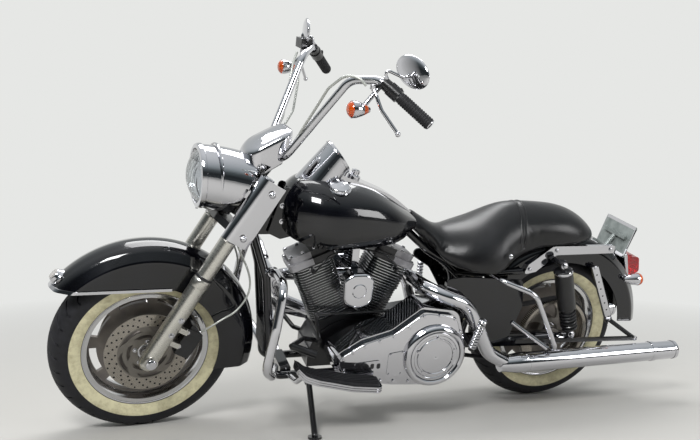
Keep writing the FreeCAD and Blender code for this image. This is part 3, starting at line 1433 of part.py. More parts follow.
def side_cover(side):
    """Black cover under the seat."""
    outer, wall = 168, 8
    low, high = sorted((side * (outer - wall), side * outer))
    skin = side_slab([(258, 598, 20), (330, 606, 30), (584, 588, 20), (600, 480, 40), (560, 352, 30),
                      (470, 326, 30), (404, 420, 60), (340, 520, 60), (268, 566, 10)], low, high)
    post = rod((430, side * 96, 470), (430, side * (outer - wall), 470), 14)
    foot = block((392, min(side * 62, side * 100), 462), (440, max(side * 62, side * 100), 478))
    return fused([skin, post, foot]).cut(upright("frame"))


def make_bodywork():
    keep("fuel_tank", fuel_tank(), BIKE)
    pieces = [tank_console()] + [fuel_cap(side) for side in SIDES]
    keep("tank_console", Part.makeCompound([piece.cut(fuel_tank()) for piece in pieces]), BIKE)
    plates = [neck_cover(side).cut(fuel_tank()).cut(upright("frame")) for side in SIDES]
    keep("neck_covers", Part.makeCompound(plates), BIKE)
    keep("seat", seat(), BIKE)
    keep("rear_fender", rear_fender(), BIKE.multiply(Placement(REAR_AXLE, Rotation())))
    keep("fender_struts", Part.makeCompound([fender_strut(side) for side in SIDES]), BIKE)
    keep("tail_lamp", tail_lamp(), BIKE)
    keep("rear_signals", rear_signals(), BIKE)
    keep("plate_holder", plate_holder(), BIKE)
    keep("side_covers", Part.makeCompound([side_cover(side) for side in SIDES]), BIKE)


# Exhaust, guards, footboards and side stand

def exhaust_pipes():
    """Left pipe that crosses over from the right, and the two right-hand headers."""
    off, r = S.muffler_offset, S.pipe_radius
    left = tube([(170, -60, 566), (182, -140, 566), (240, -201, 548), (338, -204, 512), (402, -210, 410),
                 (452, -213, 312), (540, -off, 264)], r, 110)
    front = tube([(-250, 20, 560), (-300, 66, 546), (-322, 140, 500), (-280, 172, 400), (-60, 182, 296), (300, 200, 262),
                  (540, off, 262)], r - 4, 110)
    rear = tube([(88, 10, 568), (146, 60, 566), (196, 150, 548), (262, 188, 440), (300, 198, 330), (330, 202, 262)],
                r - 4, 90)
    cross = tube([(170, -62, 566), (170, 92, 566)], r - 6, 60)
    return fused([left, cross, rear, front])


def muffler(side):
    """Long straight muffler with a tapered front."""
    r = S.muffler_radius
    section = [(0, 0), (30, 0), (31, 20), (r, 76, 60), (r, 640, 300), (r - 2, 812), (r - 6, 812),
               (r - 8, 770), (0, 768)]
    made = turned(section)
    made.Placement = Placement(Vector(510, side * S.muffler_offset, 260), Rotation(ALONG_Y, Vector(1, 0, 0.018)))
    return made.cut(exhaust_pipes())


def engine_guard():
    """One-piece guard round the front of the engine, from the frame out to both sides."""
    right = [(-378, 58, 600), (-377, 150, 634), (-385, 290, 645), (-412, 330, 505), (-436, 330, 358),
             (-404, 284, 312), (-346, 84, 236)]
    pieces = [tube(right, S.guard_radius, 60), tube(mirrored(right), S.guard_radius, 60)]
    pieces.append(rod((-378, -60, 600), (-378, 60, 600), S.guard_radius))
    return fused(pieces)


BOARD_LINE = ((-324, 368), (-296, 342), (-250, 324), (-125, 292), (-14, 278))


def board_layer(side, lift, thickness, inset):
    """Layer of the footboard that follows its curved line, inset from its plan outline."""
    inner, outer = S.board_inner + inset, S.board_inner + S.board_width - inset
    top = [(x, z + lift) for x, z in BOARD_LINE]
    line = [(x, z, 60) if 0 < i < len(top) - 1 else (x, z) for i, (x, z) in enumerate(top)]
    under = [(p[0] - thickness * 0.3, p[1] - thickness) + tuple(p[2:]) for p in reversed(line)]
    layer = side_slab(line + under, inner, outer)
    front, back = BOARD_LINE[0][0] - 8 + inset, BOARD_LINE[-1][0] + 2 - inset
    plan = plan_slab([(front, inner + 16, 12), (front, outer, 30 - inset), (back, outer, 28 - inset),
                      (back, inner + 6, 12), ((front + back) / 2, inner, 80)], 150, 500)
    layer = layer.common(plan)
    return layer if side == RIGHT else other_side(layer)


def footboard(side):
    """Chrome tray of the footboard with three bands round its edge."""
    tray = board_layer(side, -6, 22, 2)
    bands = [board_layer(side, -lift, 5, 0) for lift in (6, 14.5, 23)]
    return fused([tray] + bands)


def board_pad(side):
    """Ribbed rubber pad on the tray."""
    pad = board_layer(side, 0, 6, 9)
    ribs = []
    for y in range(int(S.board_inner) + 18, int(S.board_inner + S.board_width) - 16, 12):
        rib = board_layer(side, 3.5, 4, 14)
        low, high = sorted((side * y, side * (y + 6)))
        ribs.append(rib.common(block((-400, low, 150), (50, high, 500))))
    return fused([pad] + ribs)


def board_arms(side):
    """Two brackets from the lower frame rail out under the footboard."""
    front = tube([(-290, side * 86, 204), (-290, side * 200, 236), (-284, side * 290, 316)], 10, 60)
    rear = tube([(-70, side * 84, 214), (-70, side * 180, 223), (-70, side * 258, 230),
                 (-70, side * 296, 262)], 9, 40)
    return [front.cut(footboard(side)), rear.cut(footboard(side))]


def shift_linkage():
    """Rod along the left of the engine with a lever and a short shaft at each end."""
    y = -S.shift_rod_offset
    front, back = (-210, y, 449), (107, y, 452)
    shaft, rear_shaft = (-188, y, 345), (107, y, 415)
    pieces = [rod(front, back, 4.5), rod(front, (-160, y, 449.5), 7), rod((68, y, 451.6), back, 7)]
    pieces += [Part.makeSphere(9, Vector(*point)) for point in (front, back)]
    pieces += [rod(front, shaft, 6), rod(back, rear_shaft, 6)]
    pieces += [rod((shaft[0], y - 9, shaft[2]), (shaft[0], -40, shaft[2]), 9),
               rod((rear_shaft[0], y - 9, rear_shaft[2]), (rear_shaft[0], -40, rear_shaft[2]), 9)]
    return pieces


def make_running_gear():
    frame_solid = upright("frame")
    pipes = exhaust_pipes().cut(frame_solid).cut(upright("cylinders"))
    keep("exhaust_pipes", pipes, BIKE)
    keep("mufflers", Part.makeCompound([muffler(side) for side in SIDES]), BIKE)
    keep("engine_guard", engine_guard().cut(frame_solid), BIKE)
    boards = [fused([footboard(side)] + board_arms(side)).cut(frame_solid) for side in SIDES]
    keep("footboards", Part.makeCompound(boards), BIKE)
    keep("board_pads", Part.makeCompound([board_pad(side).cut(footboard(side)) for side in SIDES]), BIKE)
    rails = []
    for side in SIDES:
        long = tube([(470, side * 116, 597), (480, side * 196, 597), (604, side * 240, 556),
                     (728, side * 256, 322), (716, side * 186, 322)], 10, 70)
        short = tube([(566, side * 166, 412), (690, side * 246, 332)], 9, 50)
        rails.append(fused([long, short]).cut(frame_solid).cut(upright("side_covers")))
    keep("bag_rails", Part.makeCompound(rails), BIKE)
    bars = []
    for side in SIDES:
        bar = side_slab([(580, 332, 4), (580, 348, 4), (1150, 330, 4), (1150, 314, 4)],
                        *sorted((side * 182, side * 192)))
        strap = side_slab([(910, 618, 6), (944, 622, 6), (1068, 372, 6), (1034, 368, 6)],
                          *sorted((side * 120, side * 126)))
        head = rod((930, side * (S.rear_fender_width / 2), 612), (930, side * 122, 612), 9)
        arm = rod((1050, side * 123, 380), (1136, side * 187, 324), 9)
        bars.append(fused([bar, strap, arm, head]).cut(rails[SIDES.index(side)]))
    keep("bag_supports", Part.makeCompound(bars), BIKE)
    shifter = fused([tube([(-170, -60, 322), (-252, -112, 362), (-330, -236, 398)], 9, 40),
                     rod((-332, -238, 400), (-246, -262, 372), 13)]).cut(upright("crankcase"))
    shifter = fused([shifter] + shift_linkage()).cut(upright("crankcase")).cut(upright("gearbox"))
    pedal = fused([rod((-180, 60, 300), (-232, 112, 302), 9), rod((-232, 112, 302), (-318, 226, 394), 9),
                   rod((-318, 208, 394), (-318, 308, 402), 12)])
    pedal = pedal.cut(upright("crankcase")).cut(upright("cam_cover"))
    levers = [made.cut(upright("footboards")) for made in (shifter, pedal)]
    keep("foot_controls", Part.makeCompound([made.cut(frame_solid) for made in levers]), BIKE)
    pegs = [fused([tube([(398, side * 60, 452), (396, side * 130, 448), (352, side * 176, 384),
                         (352, side * 264, 366)], 9, 30),
                   rod((352, side * 262, 356), (364, side * 296, 486), 12)]) for side in SIDES]
    keep("passenger_pegs", Part.makeCompound([peg.cut(frame_solid) for peg in pegs]), BIKE)


STAND_PIVOT = Vector(-223, -128, 196)
STAND_FOLDED = Vector(1, -0.10, -0.06)
STAND_SWEEP = -0.16
STAND_PIN_RADIUS = 6


def stand_tip():
    """Ball at the end of the leg, where the foot lies flat on the ground."""
    pivot = BIKE.multVec(STAND_PIVOT)
    drop = pivot.z - S.stand_radius
    reach = math.sqrt(S.stand_length ** 2 - drop ** 2)
    side = -math.sqrt(1 - STAND_SWEEP ** 2)
    return BIKE.inverse().multVec(pivot + Vector(STAND_SWEEP * reach, side * reach, -drop))


def stand_axis():
    """Hinge line that carries the leg from the ground to its folded place."""
    return (stand_tip() - STAND_PIVOT).cross(STAND_FOLDED).normalize()


def stand_knuckle(radius, low, high):
    axis = stand_axis()
    return Part.makeCylinder(radius, high - low, STAND_PIVOT + axis * low, axis)


def side_stand():
    tip = stand_tip()
    ground = BIKE.multVec(tip)
    foot = Part.makeCylinder(24, 8, Vector(ground.x, ground.y, 0))
    foot.Placement = BIKE.inverse().multiply(foot.Placement)
    leg = rod(tuple(STAND_PIVOT), tuple(tip), S.stand_radius)
    made = fused([leg, stand_knuckle(14, -12, 12), Part.makeSphere(S.stand_radius, tip), foot])
    return made.cut(stand_knuckle(STAND_PIN_RADIUS + 0.3, -30, 30))


def stand_bracket():
    """Arm from the frame rail over the knuckle, with the hinge pin under it."""
    top = STAND_PIVOT + stand_axis() * 23
    arm = tube([(-223, -84, 204), (-223, -97, 236), tuple(top)], 8, 14)
    return fused([arm, stand_knuckle(12, 13.5, 25), stand_knuckle(STAND_PIN_RADIUS, -17, 14),
                  stand_knuckle(10, -17.5, -13.5)])


def make_stand():
    keep("side_stand", side_stand(), BIKE)


make_wheels()
make_fork()
make_frame()
make_engine()
make_bodywork()
make_running_gear()
make_stand()
doc.recompute()


def centre_on_ground():
    """Shift the whole bike so that the origin is under the middle of its box."""
    box = FreeCAD.BoundBox()
    for piece in nodes.values():
        box.add(piece.Shape.optimalBoundingBox())
    shift = Placement(Vector(-(box.XMin + box.XMax) / 2, -(box.YMin + box.YMax) / 2, -box.ZMin), Rotation())
    for piece in nodes.values():
        piece.Placement = shift.multiply(piece.Placement)
    doc.recompute()
    return box


box = centre_on_ground()
for thing in doc.Objects:
    bad = {"Invalid", "Error"} & set(thing.State)
    if bad:
        raise RuntimeError(f"{thing.Label} failed: {bad}")
for label, piece in nodes.items():
    if piece.Shape.isNull() or not piece.Shape.isValid() or not piece.Shape.Solids:
        raise RuntimeError(f"{label} has no valid solid")
os.makedirs("parts", exist_ok=True)
for label, piece in nodes.items():
    piece.Shape.exportStep(os.path.join("parts", label + ".step"))
print("nodes", len(nodes), "box", [round(v) for v in (box.XMin, box.YMin, box.ZMin, box.XMax, box.YMax, box.ZMax)])
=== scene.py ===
"""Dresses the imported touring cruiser: finishes, fastenings, lamps, cables, tread and the soft seat."""

import json
import math

import bmesh
import bpy
from bpy.props import FloatProperty, FloatVectorProperty, IntProperty, PointerProperty
from mathutils import Euler, Matrix, Vector
from mathutils.bvhtree import BVHTree


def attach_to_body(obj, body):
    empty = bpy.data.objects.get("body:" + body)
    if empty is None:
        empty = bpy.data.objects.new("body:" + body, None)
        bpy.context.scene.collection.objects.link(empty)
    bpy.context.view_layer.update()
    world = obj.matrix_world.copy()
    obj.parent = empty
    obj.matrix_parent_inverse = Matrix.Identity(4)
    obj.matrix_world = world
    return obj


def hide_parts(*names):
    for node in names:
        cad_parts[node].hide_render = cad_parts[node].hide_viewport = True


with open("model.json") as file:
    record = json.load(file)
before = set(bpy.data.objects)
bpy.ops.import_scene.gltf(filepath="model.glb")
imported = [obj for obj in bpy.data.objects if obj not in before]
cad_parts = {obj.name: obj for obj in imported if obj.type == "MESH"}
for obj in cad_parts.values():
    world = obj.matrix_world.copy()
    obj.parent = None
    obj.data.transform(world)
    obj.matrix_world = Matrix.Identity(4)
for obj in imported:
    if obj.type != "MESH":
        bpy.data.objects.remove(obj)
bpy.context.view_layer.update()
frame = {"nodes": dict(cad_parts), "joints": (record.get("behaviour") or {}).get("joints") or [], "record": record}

bl_info = {
    "name": "Touring cruiser dressing",
    "version": (1, 0, 0),
    "blender": (4, 5, 0),
    "location": "3D View > Sidebar > Cruiser",
    "description": "Finishes, small parts and soft seat of a touring cruiser motorcycle",
    "category": "Object",
}

LEFT, RIGHT = -1, 1
SIDES = (LEFT, RIGHT)
ALONG_X, ALONG_Y, ALONG_Z = Vector((1, 0, 0)), Vector((0, 1, 0)), Vector((0, 0, 1))
ORIGIN = Vector((0, 0, 0))


# Placements. Pieces are drawn on the upright bike in millimetres, x to the rear, y to the rider's
# right and z up, with the ground under the middle of the wheelbase as origin, and then leaned.

TYRE_RADIUS = 322.0
CROWN_RADIUS = 75.0


def joint(name):
    return next(j for j in frame["joints"] if j["name"] == name)


def columns(along, side, up, at):
    """Matrix whose axes are the three directions, at a point."""
    made = Matrix((along, side, up)).transposed().to_4x4()
    made.translation = at
    return made


def find_placements():
    """Placements of the bike and of its turned fork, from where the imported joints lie."""
    front, rear, steer = joint("front_wheel_spin"), joint("rear_wheel_spin"), joint("steering")
    front_at, rear_at = Vector(front["pos_m"]), Vector(rear["pos_m"])
    along = (rear_at - front_at).normalized()
    side = Vector(rear["axis"]).normalized()
    up = along.cross(side).normalized()
    base = rear_at - along * (rear_at - front_at).length / 2 - up * TYRE_RADIUS / 1000
    bike = columns(along, up.cross(along), up, base) @ Matrix.Scale(0.001, 4)
    wheelbase = (rear_at - front_at).length * 1000
    turned_side = Vector(front["axis"]).normalized()
    turned_up = Vector(steer["axis"]).normalized()
    turned_up = (turned_up - turned_side * turned_up.dot(turned_side)).normalized()
    line = columns(turned_side.cross(turned_up), turned_side, turned_up, front_at) @ Matrix.Scale(0.001, 4)
    upright = Matrix.Translation((-wheelbase / 2, 0, TYRE_RADIUS)) @ Matrix.Rotation(RAKE, 4, "Y")
    return bike, line @ upright.inverted(), wheelbase


RAKE = math.radians(27.0)
FORK_ANGLE = math.radians(30.4)
BIKE, FORK, WHEELBASE = find_placements()
FRONT_AXLE = Vector((-WHEELBASE / 2, 0, TYRE_RADIUS))
REAR_AXLE = Vector((WHEELBASE / 2, 0, TYRE_RADIUS))
FORK_LINE = FORK @ Matrix.Translation(FRONT_AXLE) @ Matrix.Rotation(FORK_ANGLE, 4, "Y")
FRONT_HUB = FORK @ Matrix.Translation(FRONT_AXLE)
REAR_HUB = BIKE @ Matrix.Translation(REAR_AXLE)


def across(direction, second=ALONG_Z):
    """Rotation that turns z to a direction."""
    return direction.to_track_quat("Z", "Y").to_matrix().to_4x4()


# Meshes. Every shape is drawn into a Form in millimetres and placed once, in its vertices.

class Form:
    """A mesh being built, with one finish index for each face."""

    def __init__(self):
        self.mesh = bmesh.new()
        self.finish = 0

    def faces_since(self, count):
        self.mesh.faces.ensure_lookup_table()
        for face in self.mesh.faces[count:]:
            face.material_index = self.finish

    def lathe(self, points, centre=ORIGIN, axis=ALONG_Y, steps=48):
        """Full turn of (radius, height) points about an axis through a centre."""
        count = len(self.mesh.faces)
        place = Matrix.Translation(centre) @ across(Vector(axis))
        verts = [self.mesh.verts.new(place @ Vector((max(r, 0.0), 0, h))) for r, h in points]
        edges = [self.mesh.edges.new(pair) for pair in zip(verts, verts[1:])]
        bmesh.ops.spin(self.mesh, geom=verts + edges, cent=centre, axis=Vector(axis).normalized(), dvec=ORIGIN,
                       angle=math.tau, steps=steps, use_merge=True, use_duplicate=False)
        self.faces_since(count)
        return self

    def pipe(self, points, radius, steps=12, closed_ends=True):
        """Round tube along points; radius may be one number or one for each point."""
        count = len(self.mesh.faces)
        spots = [Vector(p) for p in points]
        radii = [radius] * len(spots) if isinstance(radius, (int, float)) else list(radius)
        heading = (spots[1] - spots[0]).normalized()
        turn = across(heading)
        ring = bmesh.ops.create_circle(self.mesh, cap_ends=False, segments=steps, radius=1.0,
                                       matrix=Matrix.Translation(spots[0]) @ turn @ Matrix.Scale(radii[0], 4))
        verts = ring["verts"]
        first = list(verts)
        edges = [e for e in {e for v in verts for e in v.link_edges}]
        place = Matrix.Translation(spots[0]) @ turn @ Matrix.Scale(radii[0], 4)
        for i in range(1, len(spots)):
            after = spots[min(i + 1, len(spots) - 1)] - spots[i - 1]
            turn = heading.rotation_difference(after.normalized()).to_matrix().to_4x4() @ turn
            heading = after.normalized()
            new_place = Matrix.Translation(spots[i]) @ turn @ Matrix.Scale(radii[i], 4)
            made = bmesh.ops.extrude_edge_only(self.mesh, edges=edges)
            verts = [g for g in made["geom"] if isinstance(g, bmesh.types.BMVert)]
            edges = [g for g in made["geom"] if isinstance(g, bmesh.types.BMEdge)
                     and all(v in verts for v in g.verts)]
            bmesh.ops.transform(self.mesh, matrix=new_place @ place.inverted(), verts=verts)
            place = new_place
        if closed_ends:
            bmesh.ops.contextual_create(self.mesh, geom=first)
            bmesh.ops.contextual_create(self.mesh, geom=verts)
        self.faces_since(count)
        return self

    def slab(self, outline, low, high, place=None, bevel=0.0, segments=2):
        """Prism of an outline in the first two axes of a placement, from low to high along its third."""
        count = len(self.mesh.faces)
        place = place or Matrix.Identity(4)
        verts = [self.mesh.verts.new(place @ Vector((a, b, low))) for a, b in outline]
        base = self.mesh.faces.new(verts)
        made = bmesh.ops.extrude_face_region(self.mesh, geom=[base], use_keep_orig=True)
        top = [g for g in made["geom"] if isinstance(g, bmesh.types.BMVert)]
        lift = place.to_3x3() @ Vector((0, 0, high - low))
        bmesh.ops.translate(self.mesh, vec=lift, verts=top)
        if bevel:
            rim = [g for g in made["geom"] if isinstance(g, bmesh.types.BMEdge)]
            bmesh.ops.bevel(self.mesh, geom=rim, offset=bevel, offset_type="OFFSET", segments=segments,
                            profile=0.5, affect="EDGES", material=-1)
        self.faces_since(count)
        return self

    def rings(self, loops, joined=True):
        """Skin through closed loops of points: joined end to end, or shut by a face at the first."""
        count = len(self.mesh.faces)
        verts = [self.mesh.verts.new(spot) for spot in loops[0]]
        edges = [self.mesh.edges.new(pair) for pair in zip(verts, verts[1:] + verts[:1])]
        first, base = list(edges), list(verts)
        for loop in loops[1:]:
            made = bmesh.ops.extrude_edge_only(self.mesh, edges=edges)
            fresh = [g for g in made["geom"] if isinstance(g, bmesh.types.BMVert)]
            edges = [g for g in made["geom"] if isinstance(g, bmesh.types.BMEdge) and all(v in fresh for v in g.verts)]
            for vert, spot in zip(fresh, loop):
                vert.co = spot
        if joined:
            bmesh.ops.bridge_loops(self.mesh, edges=first + edges)
        else:
            bmesh.ops.contextual_create(self.mesh, geom=base)
        self.faces_since(count)
        return self

    def bolt(self, centre, axis, radius, height=4.0, sides=6, dome=0.0, washer=0.0):
        """Bolt head with bevelled rim on an optional washer, or a domed nut."""
        axis = Vector(axis).normalized()
        place = Matrix.Translation(Vector(centre)) @ across(axis)
        lift = 0.0
        if washer:
            self.lathe([(0, 0), (radius * washer, 0), (radius * washer, 1.2), (0, 1.2)], Vector(centre), axis, 20)
            lift = 1.0
        ring = [(radius * math.cos(math.tau * i / sides), radius * math.sin(math.tau * i / sides))
                for i in range(sides)]
        self.slab(ring, lift, lift + height, place, bevel=min(radius * 0.16, 1.2), segments=2)
        if dome:
            top = [(radius * 0.86, height), (radius * 0.8, height + dome * 0.45),
                   (radius * 0.52, height + dome * 0.86), (0, height + dome)]
            self.lathe([(r, h + lift) for r, h in top], Vector(centre), axis, 20)
        return self

    def made(self, name, placement, body, slot, finishes, smooth=32.0):
        """The finished object: placed, merged, closed, shaded and riding on its body."""
        mesh = self.mesh
        bmesh.ops.remove_doubles(mesh, verts=mesh.verts, dist=0.01)
        bmesh.ops.dissolve_degenerate(mesh, edges=mesh.edges, dist=0.001)
        bmesh.ops.recalc_face_normals(mesh, faces=mesh.faces)
        bmesh.ops.transform(mesh, matrix=placement, verts=mesh.verts)
        limit = math.radians(smooth)
        for edge in mesh.edges:
            edge.smooth = len(edge.link_faces) == 2 and edge.calc_face_angle(0) < limit
        for face in mesh.faces:
            face.smooth = True
        data = bpy.data.meshes.new(name)
        mesh.to_mesh(data)
        mesh.free()
        obj = bpy.data.objects.new(name, data)
        bpy.context.scene.collection.objects.link(obj)
        for finish in finishes if isinstance(finishes, (list, tuple)) else [finishes]:
            data.materials.append(material(finish))
        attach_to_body(obj, body)
        return obj


def softened(node, name, finish, offset, chosen, body, placement):
    """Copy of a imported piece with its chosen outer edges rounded; it takes that piece's place."""
    source = frame["nodes"][node]
    form = Form()
    form.mesh.from_mesh(source.data)
    bmesh.ops.transform(form.mesh, matrix=placement.inverted() @ source.matrix_world, verts=form.mesh.verts)
    bmesh.ops.remove_doubles(form.mesh, verts=form.mesh.verts, dist=0.02)
    bmesh.ops.dissolve_limit(form.mesh, angle_limit=math.radians(1.0), verts=form.mesh.verts, edges=form.mesh.edges)
    sharp = [e for e in form.mesh.edges if len(e.link_faces) == 2 and e.is_convex
             and e.calc_face_angle() > math.radians(34) and chosen((e.verts[0].co + e.verts[1].co) / 2)]
    bmesh.ops.bevel(form.mesh, geom=sharp, offset=offset, offset_type="OFFSET", segments=5, profile=0.5,
                    affect="EDGES", clamp_overlap=True, material=-1)
    for face in form.mesh.faces:
        face.material_index = 0
    obj = form.made(name, placement, body, finish, finish)
    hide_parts(node)
    return obj


def ring_points(count, radius, start=0.0):
    """Points evenly round a circle, as (angle, first, second)."""
    spots = []
    for i in range(count):
        turn = math.radians(start) + math.tau * i / count
        spots.append((turn, radius * math.cos(turn), radius * math.sin(turn)))
    return spots


# Finishes. Each is made once, by name, from shader nodes.

def linear(colour):
    """Scene-linear colour of an sRGB hex string."""
    channels = [int(colour[i:i + 2], 16) / 255 for i in (1, 3, 5)]
    return tuple(c / 12.92 if c <= 0.04045 else ((c + 0.055) / 1.055) ** 2.4 for c in channels) + (1.0,)


def add(tree, kind, inputs=None, **settings):
    """Add a shader node; an input that is a socket is linked, any other is a value."""
    made = tree.nodes.new(kind)
    for name, value in settings.items():
        setattr(made, name, value)
    for key, value in (inputs or {}).items():
        if isinstance(value, bpy.types.NodeSocket):
            tree.links.new(value, made.inputs[key])
        else:
            made.inputs[key].default_value = value
    return made


def per_mm(size):
    """Texture scale for a pattern of this size in millimetres."""
    return 1000.0 / size


def object_point(tree, place=None):
    """Object coordinates, seen from a placement when one is given."""
    spot = add(tree, "ShaderNodeTexCoord").outputs["Object"]
    if place is None:
        return spot
    turned = add(tree, "ShaderNodeMapping", {"Vector": spot}, vector_type="TEXTURE")
    turned.inputs["Location"].default_value = place.translation
    turned.inputs["Rotation"].default_value = place.to_3x3().normalized().to_euler()
    return turned.outputs["Vector"]


def noise(tree, spot, size, detail=3.0, roughness=0.55):
    made = add(tree, "ShaderNodeTexNoise", {"Vector": spot, "Scale": per_mm(size), "Detail": detail,
                                            "Roughness": roughness})
    return made.outputs["Fac"]


def spread(tree, value, low, high, to_low, to_high):
    """A value mapped from one range to another, clamped."""
    made = add(tree, "ShaderNodeMapRange", {"Value": value, "From Min": low, "From Max": high,
                                            "To Min": to_low, "To Max": to_high})
    return made.outputs["Result"]


def mix(tree, share, first, second):
    made = add(tree, "ShaderNodeMix", data_type="RGBA")
    for key, value in ((0, share), (6, first), (7, second)):
        if isinstance(value, bpy.types.NodeSocket):
            tree.links.new(value, made.inputs[key])
        else:
            made.inputs[key].default_value = value
    return made.outputs[2]


def calculate(tree, operation, first, second=0.0):
    return add(tree, "ShaderNodeMath", {0: first, 1: second}, operation=operation).outputs[0]


def bump(tree, height, distance, strength=1.0):
    """Normal from a height; distance is its relief in millimetres."""
    made = add(tree, "ShaderNodeBump", {"Height": height, "Distance": distance / 1000, "Strength": strength})
    return made.outputs["Normal"]


def radius_at(tree, spot):
    """Distance from the placement's y axis, in metres."""
    flat = add(tree, "ShaderNodeVectorMath", {0: spot, 1: (1.0, 0.0, 1.0)}, operation="MULTIPLY").outputs[0]
    return add(tree, "ShaderNodeVectorMath", {0: flat}, operation="LENGTH").outputs["Value"]


def surface(name, **settings):
    """New material with a Principled shader; settings are its socket names with underscores."""
    made = bpy.data.materials.new(name)
    made.use_nodes = True
    tree = made.node_tree
    tree.nodes.clear()
    shader = add(tree, "ShaderNodeBsdfPrincipled")
    for key, value in settings.items():
        shader.inputs[key.replace("_", " ")].default_value = value
    add(tree, "ShaderNodeOutputMaterial", {"Surface": shader.outputs[0]})
    return made, tree, shader


def attach(tree, shader, **sockets):
    for key, value in sockets.items():
        tree.links.new(value, shader.inputs[key.replace("_", " ")])


def gloss_black():
    """Deep black enamel under clear lacquer, with faint orange peel and dust that dulls upward faces."""
    made, tree, shader = surface("gloss_black_enamel", Specular_IOR_Level=0.15, Coat_Weight=1.0,
                                 Coat_Roughness=0.03, Coat_IOR=1.5)
    spot = object_point(tree)
    dust = spread(tree, noise(tree, spot, 140, 5.0), 0.42, 0.72, 0.0, 1.0)
    attach(tree, shader,
           Base_Color=mix(tree, dust, linear("#050508"), linear("#0b0c12")),
           Roughness=spread(tree, dust, 0.0, 1.0, 0.12, 0.24),
           Coat_Normal=bump(tree, noise(tree, spot, 7.0, 1.0), 0.012))
    return made


def chrome():
    """Show chrome: bright mirror with light smudges and a few fine wiping marks."""
    made, tree, shader = surface("polished_chrome", Metallic=1.0, Base_Color=linear("#cdcdd1"))
    spot = object_point(tree)
    smudge = spread(tree, noise(tree, spot, 90, 4.0), 0.45, 0.75, 0.035, 0.13)
    attach(tree, shader, Roughness=smudge,
           Normal=bump(tree, noise(tree, spot, 45, 2.0), 0.05, 0.5))
    return made


def satin_alloy():
    """Turned fork alloy: soft satin with fine marks round the tube and warm grey tone."""
    made, tree, shader = surface("satin_fork_alloy", Metallic=1.0, Anisotropic=0.4)
    spot = object_point(tree, FORK_LINE)
    lines = add(tree, "ShaderNodeMapping", {"Vector": spot, "Scale": (0.08, 0.08, 1.0)})
    marks = noise(tree, lines.outputs[0], 1.2, 2.0)
    cloud = noise(tree, spot, 120, 4.0)
    attach(tree, shader, Base_Color=mix(tree, cloud, linear("#bdbbb4"), linear("#d6d4cd")),
           Roughness=spread(tree, marks, 0.3, 0.7, 0.24, 0.36), Normal=bump(tree, marks, 0.02, 0.5))
    return made


def cast_wheel(name, hub):
    """Cast wheel: warm grey satin paint under brake dust, and a bright machined rim."""
    made, tree, shader = surface(name, Coat_Weight=0.15, Coat_Roughness=0.2)
    spot = object_point(tree, hub)
    radius = radius_at(tree, spot)
    rim = spread(tree, radius, 0.1945, 0.1955, 0.0, 1.0)
    dust = spread(tree, noise(tree, spot, 60, 4.0), 0.35, 0.7, 0.0, 1.0)
    rings = add(tree, "ShaderNodeTexWave", {"Vector": spot, "Scale": 260.0, "Distortion": 0.4},
                wave_type="RINGS", rings_direction="Y").outputs["Fac"]
    paint = mix(tree, dust, linear("#6b6663"), linear("#837c74"))
    attach(tree, shader, Base_Color=mix(tree, rim, paint, linear("#cfcfd0")),
           Metallic=spread(tree, rim, 0.0, 1.0, 0.3, 1.0),
           Roughness=mix_value(tree, rim, spread(tree, dust, 0.0, 1.0, 0.4, 0.55), 0.12),
           Normal=bump(tree, calculate(tree, "MULTIPLY", rings, rim), 0.01, 0.5))
    return made


def mix_value(tree, share, first, second):
    made = add(tree, "ShaderNodeMix", data_type="FLOAT")
    for key, value in ((0, share), (2, first), (3, second)):
        if isinstance(value, bpy.types.NodeSocket):
            tree.links.new(value, made.inputs[key])
        else:
            made.inputs[key].default_value = value
    return made.outputs[0]


def rotor_steel(name, hub):
    """Brake disc: concentric wear rings, warm grey, with a darker hub that the pads never touch."""
    made, tree, shader = surface(name, Metallic=0.9, Anisotropic=0.5)
    spot = object_point(tree, hub)
    radius = radius_at(tree, spot)
    swept = spread(tree, radius, 0.1, 0.104, 0.0, 1.0)
    scratch = add(tree, "ShaderNodeTexNoise", {"W": calculate(tree, "MULTIPLY", radius, 1400.0), "Detail": 3.0,
                                               "Scale": 1.0}, noise_dimensions="1D").outputs["Fac"]
    grime = noise(tree, spot, 30, 5.0)
    worn = mix(tree, scratch, linear("#8b857c"), linear("#b4aea5"))
    unworn = mix(tree, grime, linear("#6e6a64"), linear("#8d8983"))
    attach(tree, shader, Base_Color=mix(tree, swept, unworn, worn),
           Roughness=mix_value(tree, swept, 0.42, spread(tree, scratch, 0.3, 0.7, 0.2, 0.36)),
           Normal=bump(tree, scratch, 0.03, 0.6))
    return made


def engine_grey():
    """Crackled silver-grey engine paint, a little oily in its hollows."""
    made, tree, shader = surface("engine_case_paint", Metallic=0.35, Coat_Weight=0.15, Coat_Roughness=0.3)
    spot = object_point(tree)
    grain = noise(tree, spot, 1.6, 2.0)
    oil = spread(tree, noise(tree, spot, 70, 4.0), 0.45, 0.7, 0.0, 1.0)
    attach(tree, shader, Base_Color=mix(tree, oil, linear("#98979a"), linear("#77767a")),
           Roughness=spread(tree, grain, 0.3, 0.7, 0.38, 0.55), Normal=bump(tree, grain, 0.12, 0.6))
    return made


def finned_black():
    """Black-painted cylinders whose fin edges are cut back to bright metal."""
    made, tree, shader = surface("black_finned_cylinder", Coat_Weight=0.2, Coat_Roughness=0.25)
    spot = object_point(tree)
    grain = noise(tree, spot, 1.4, 2.0)
    attach(tree, shader, Base_Color=mix(tree, noise(tree, spot, 50, 4.0), linear("#0e0e10"), linear("#1b1b1e")),
           Roughness=spread(tree, grain, 0.3, 0.7, 0.34, 0.5), Normal=bump(tree, grain, 0.06, 0.5))
    return made


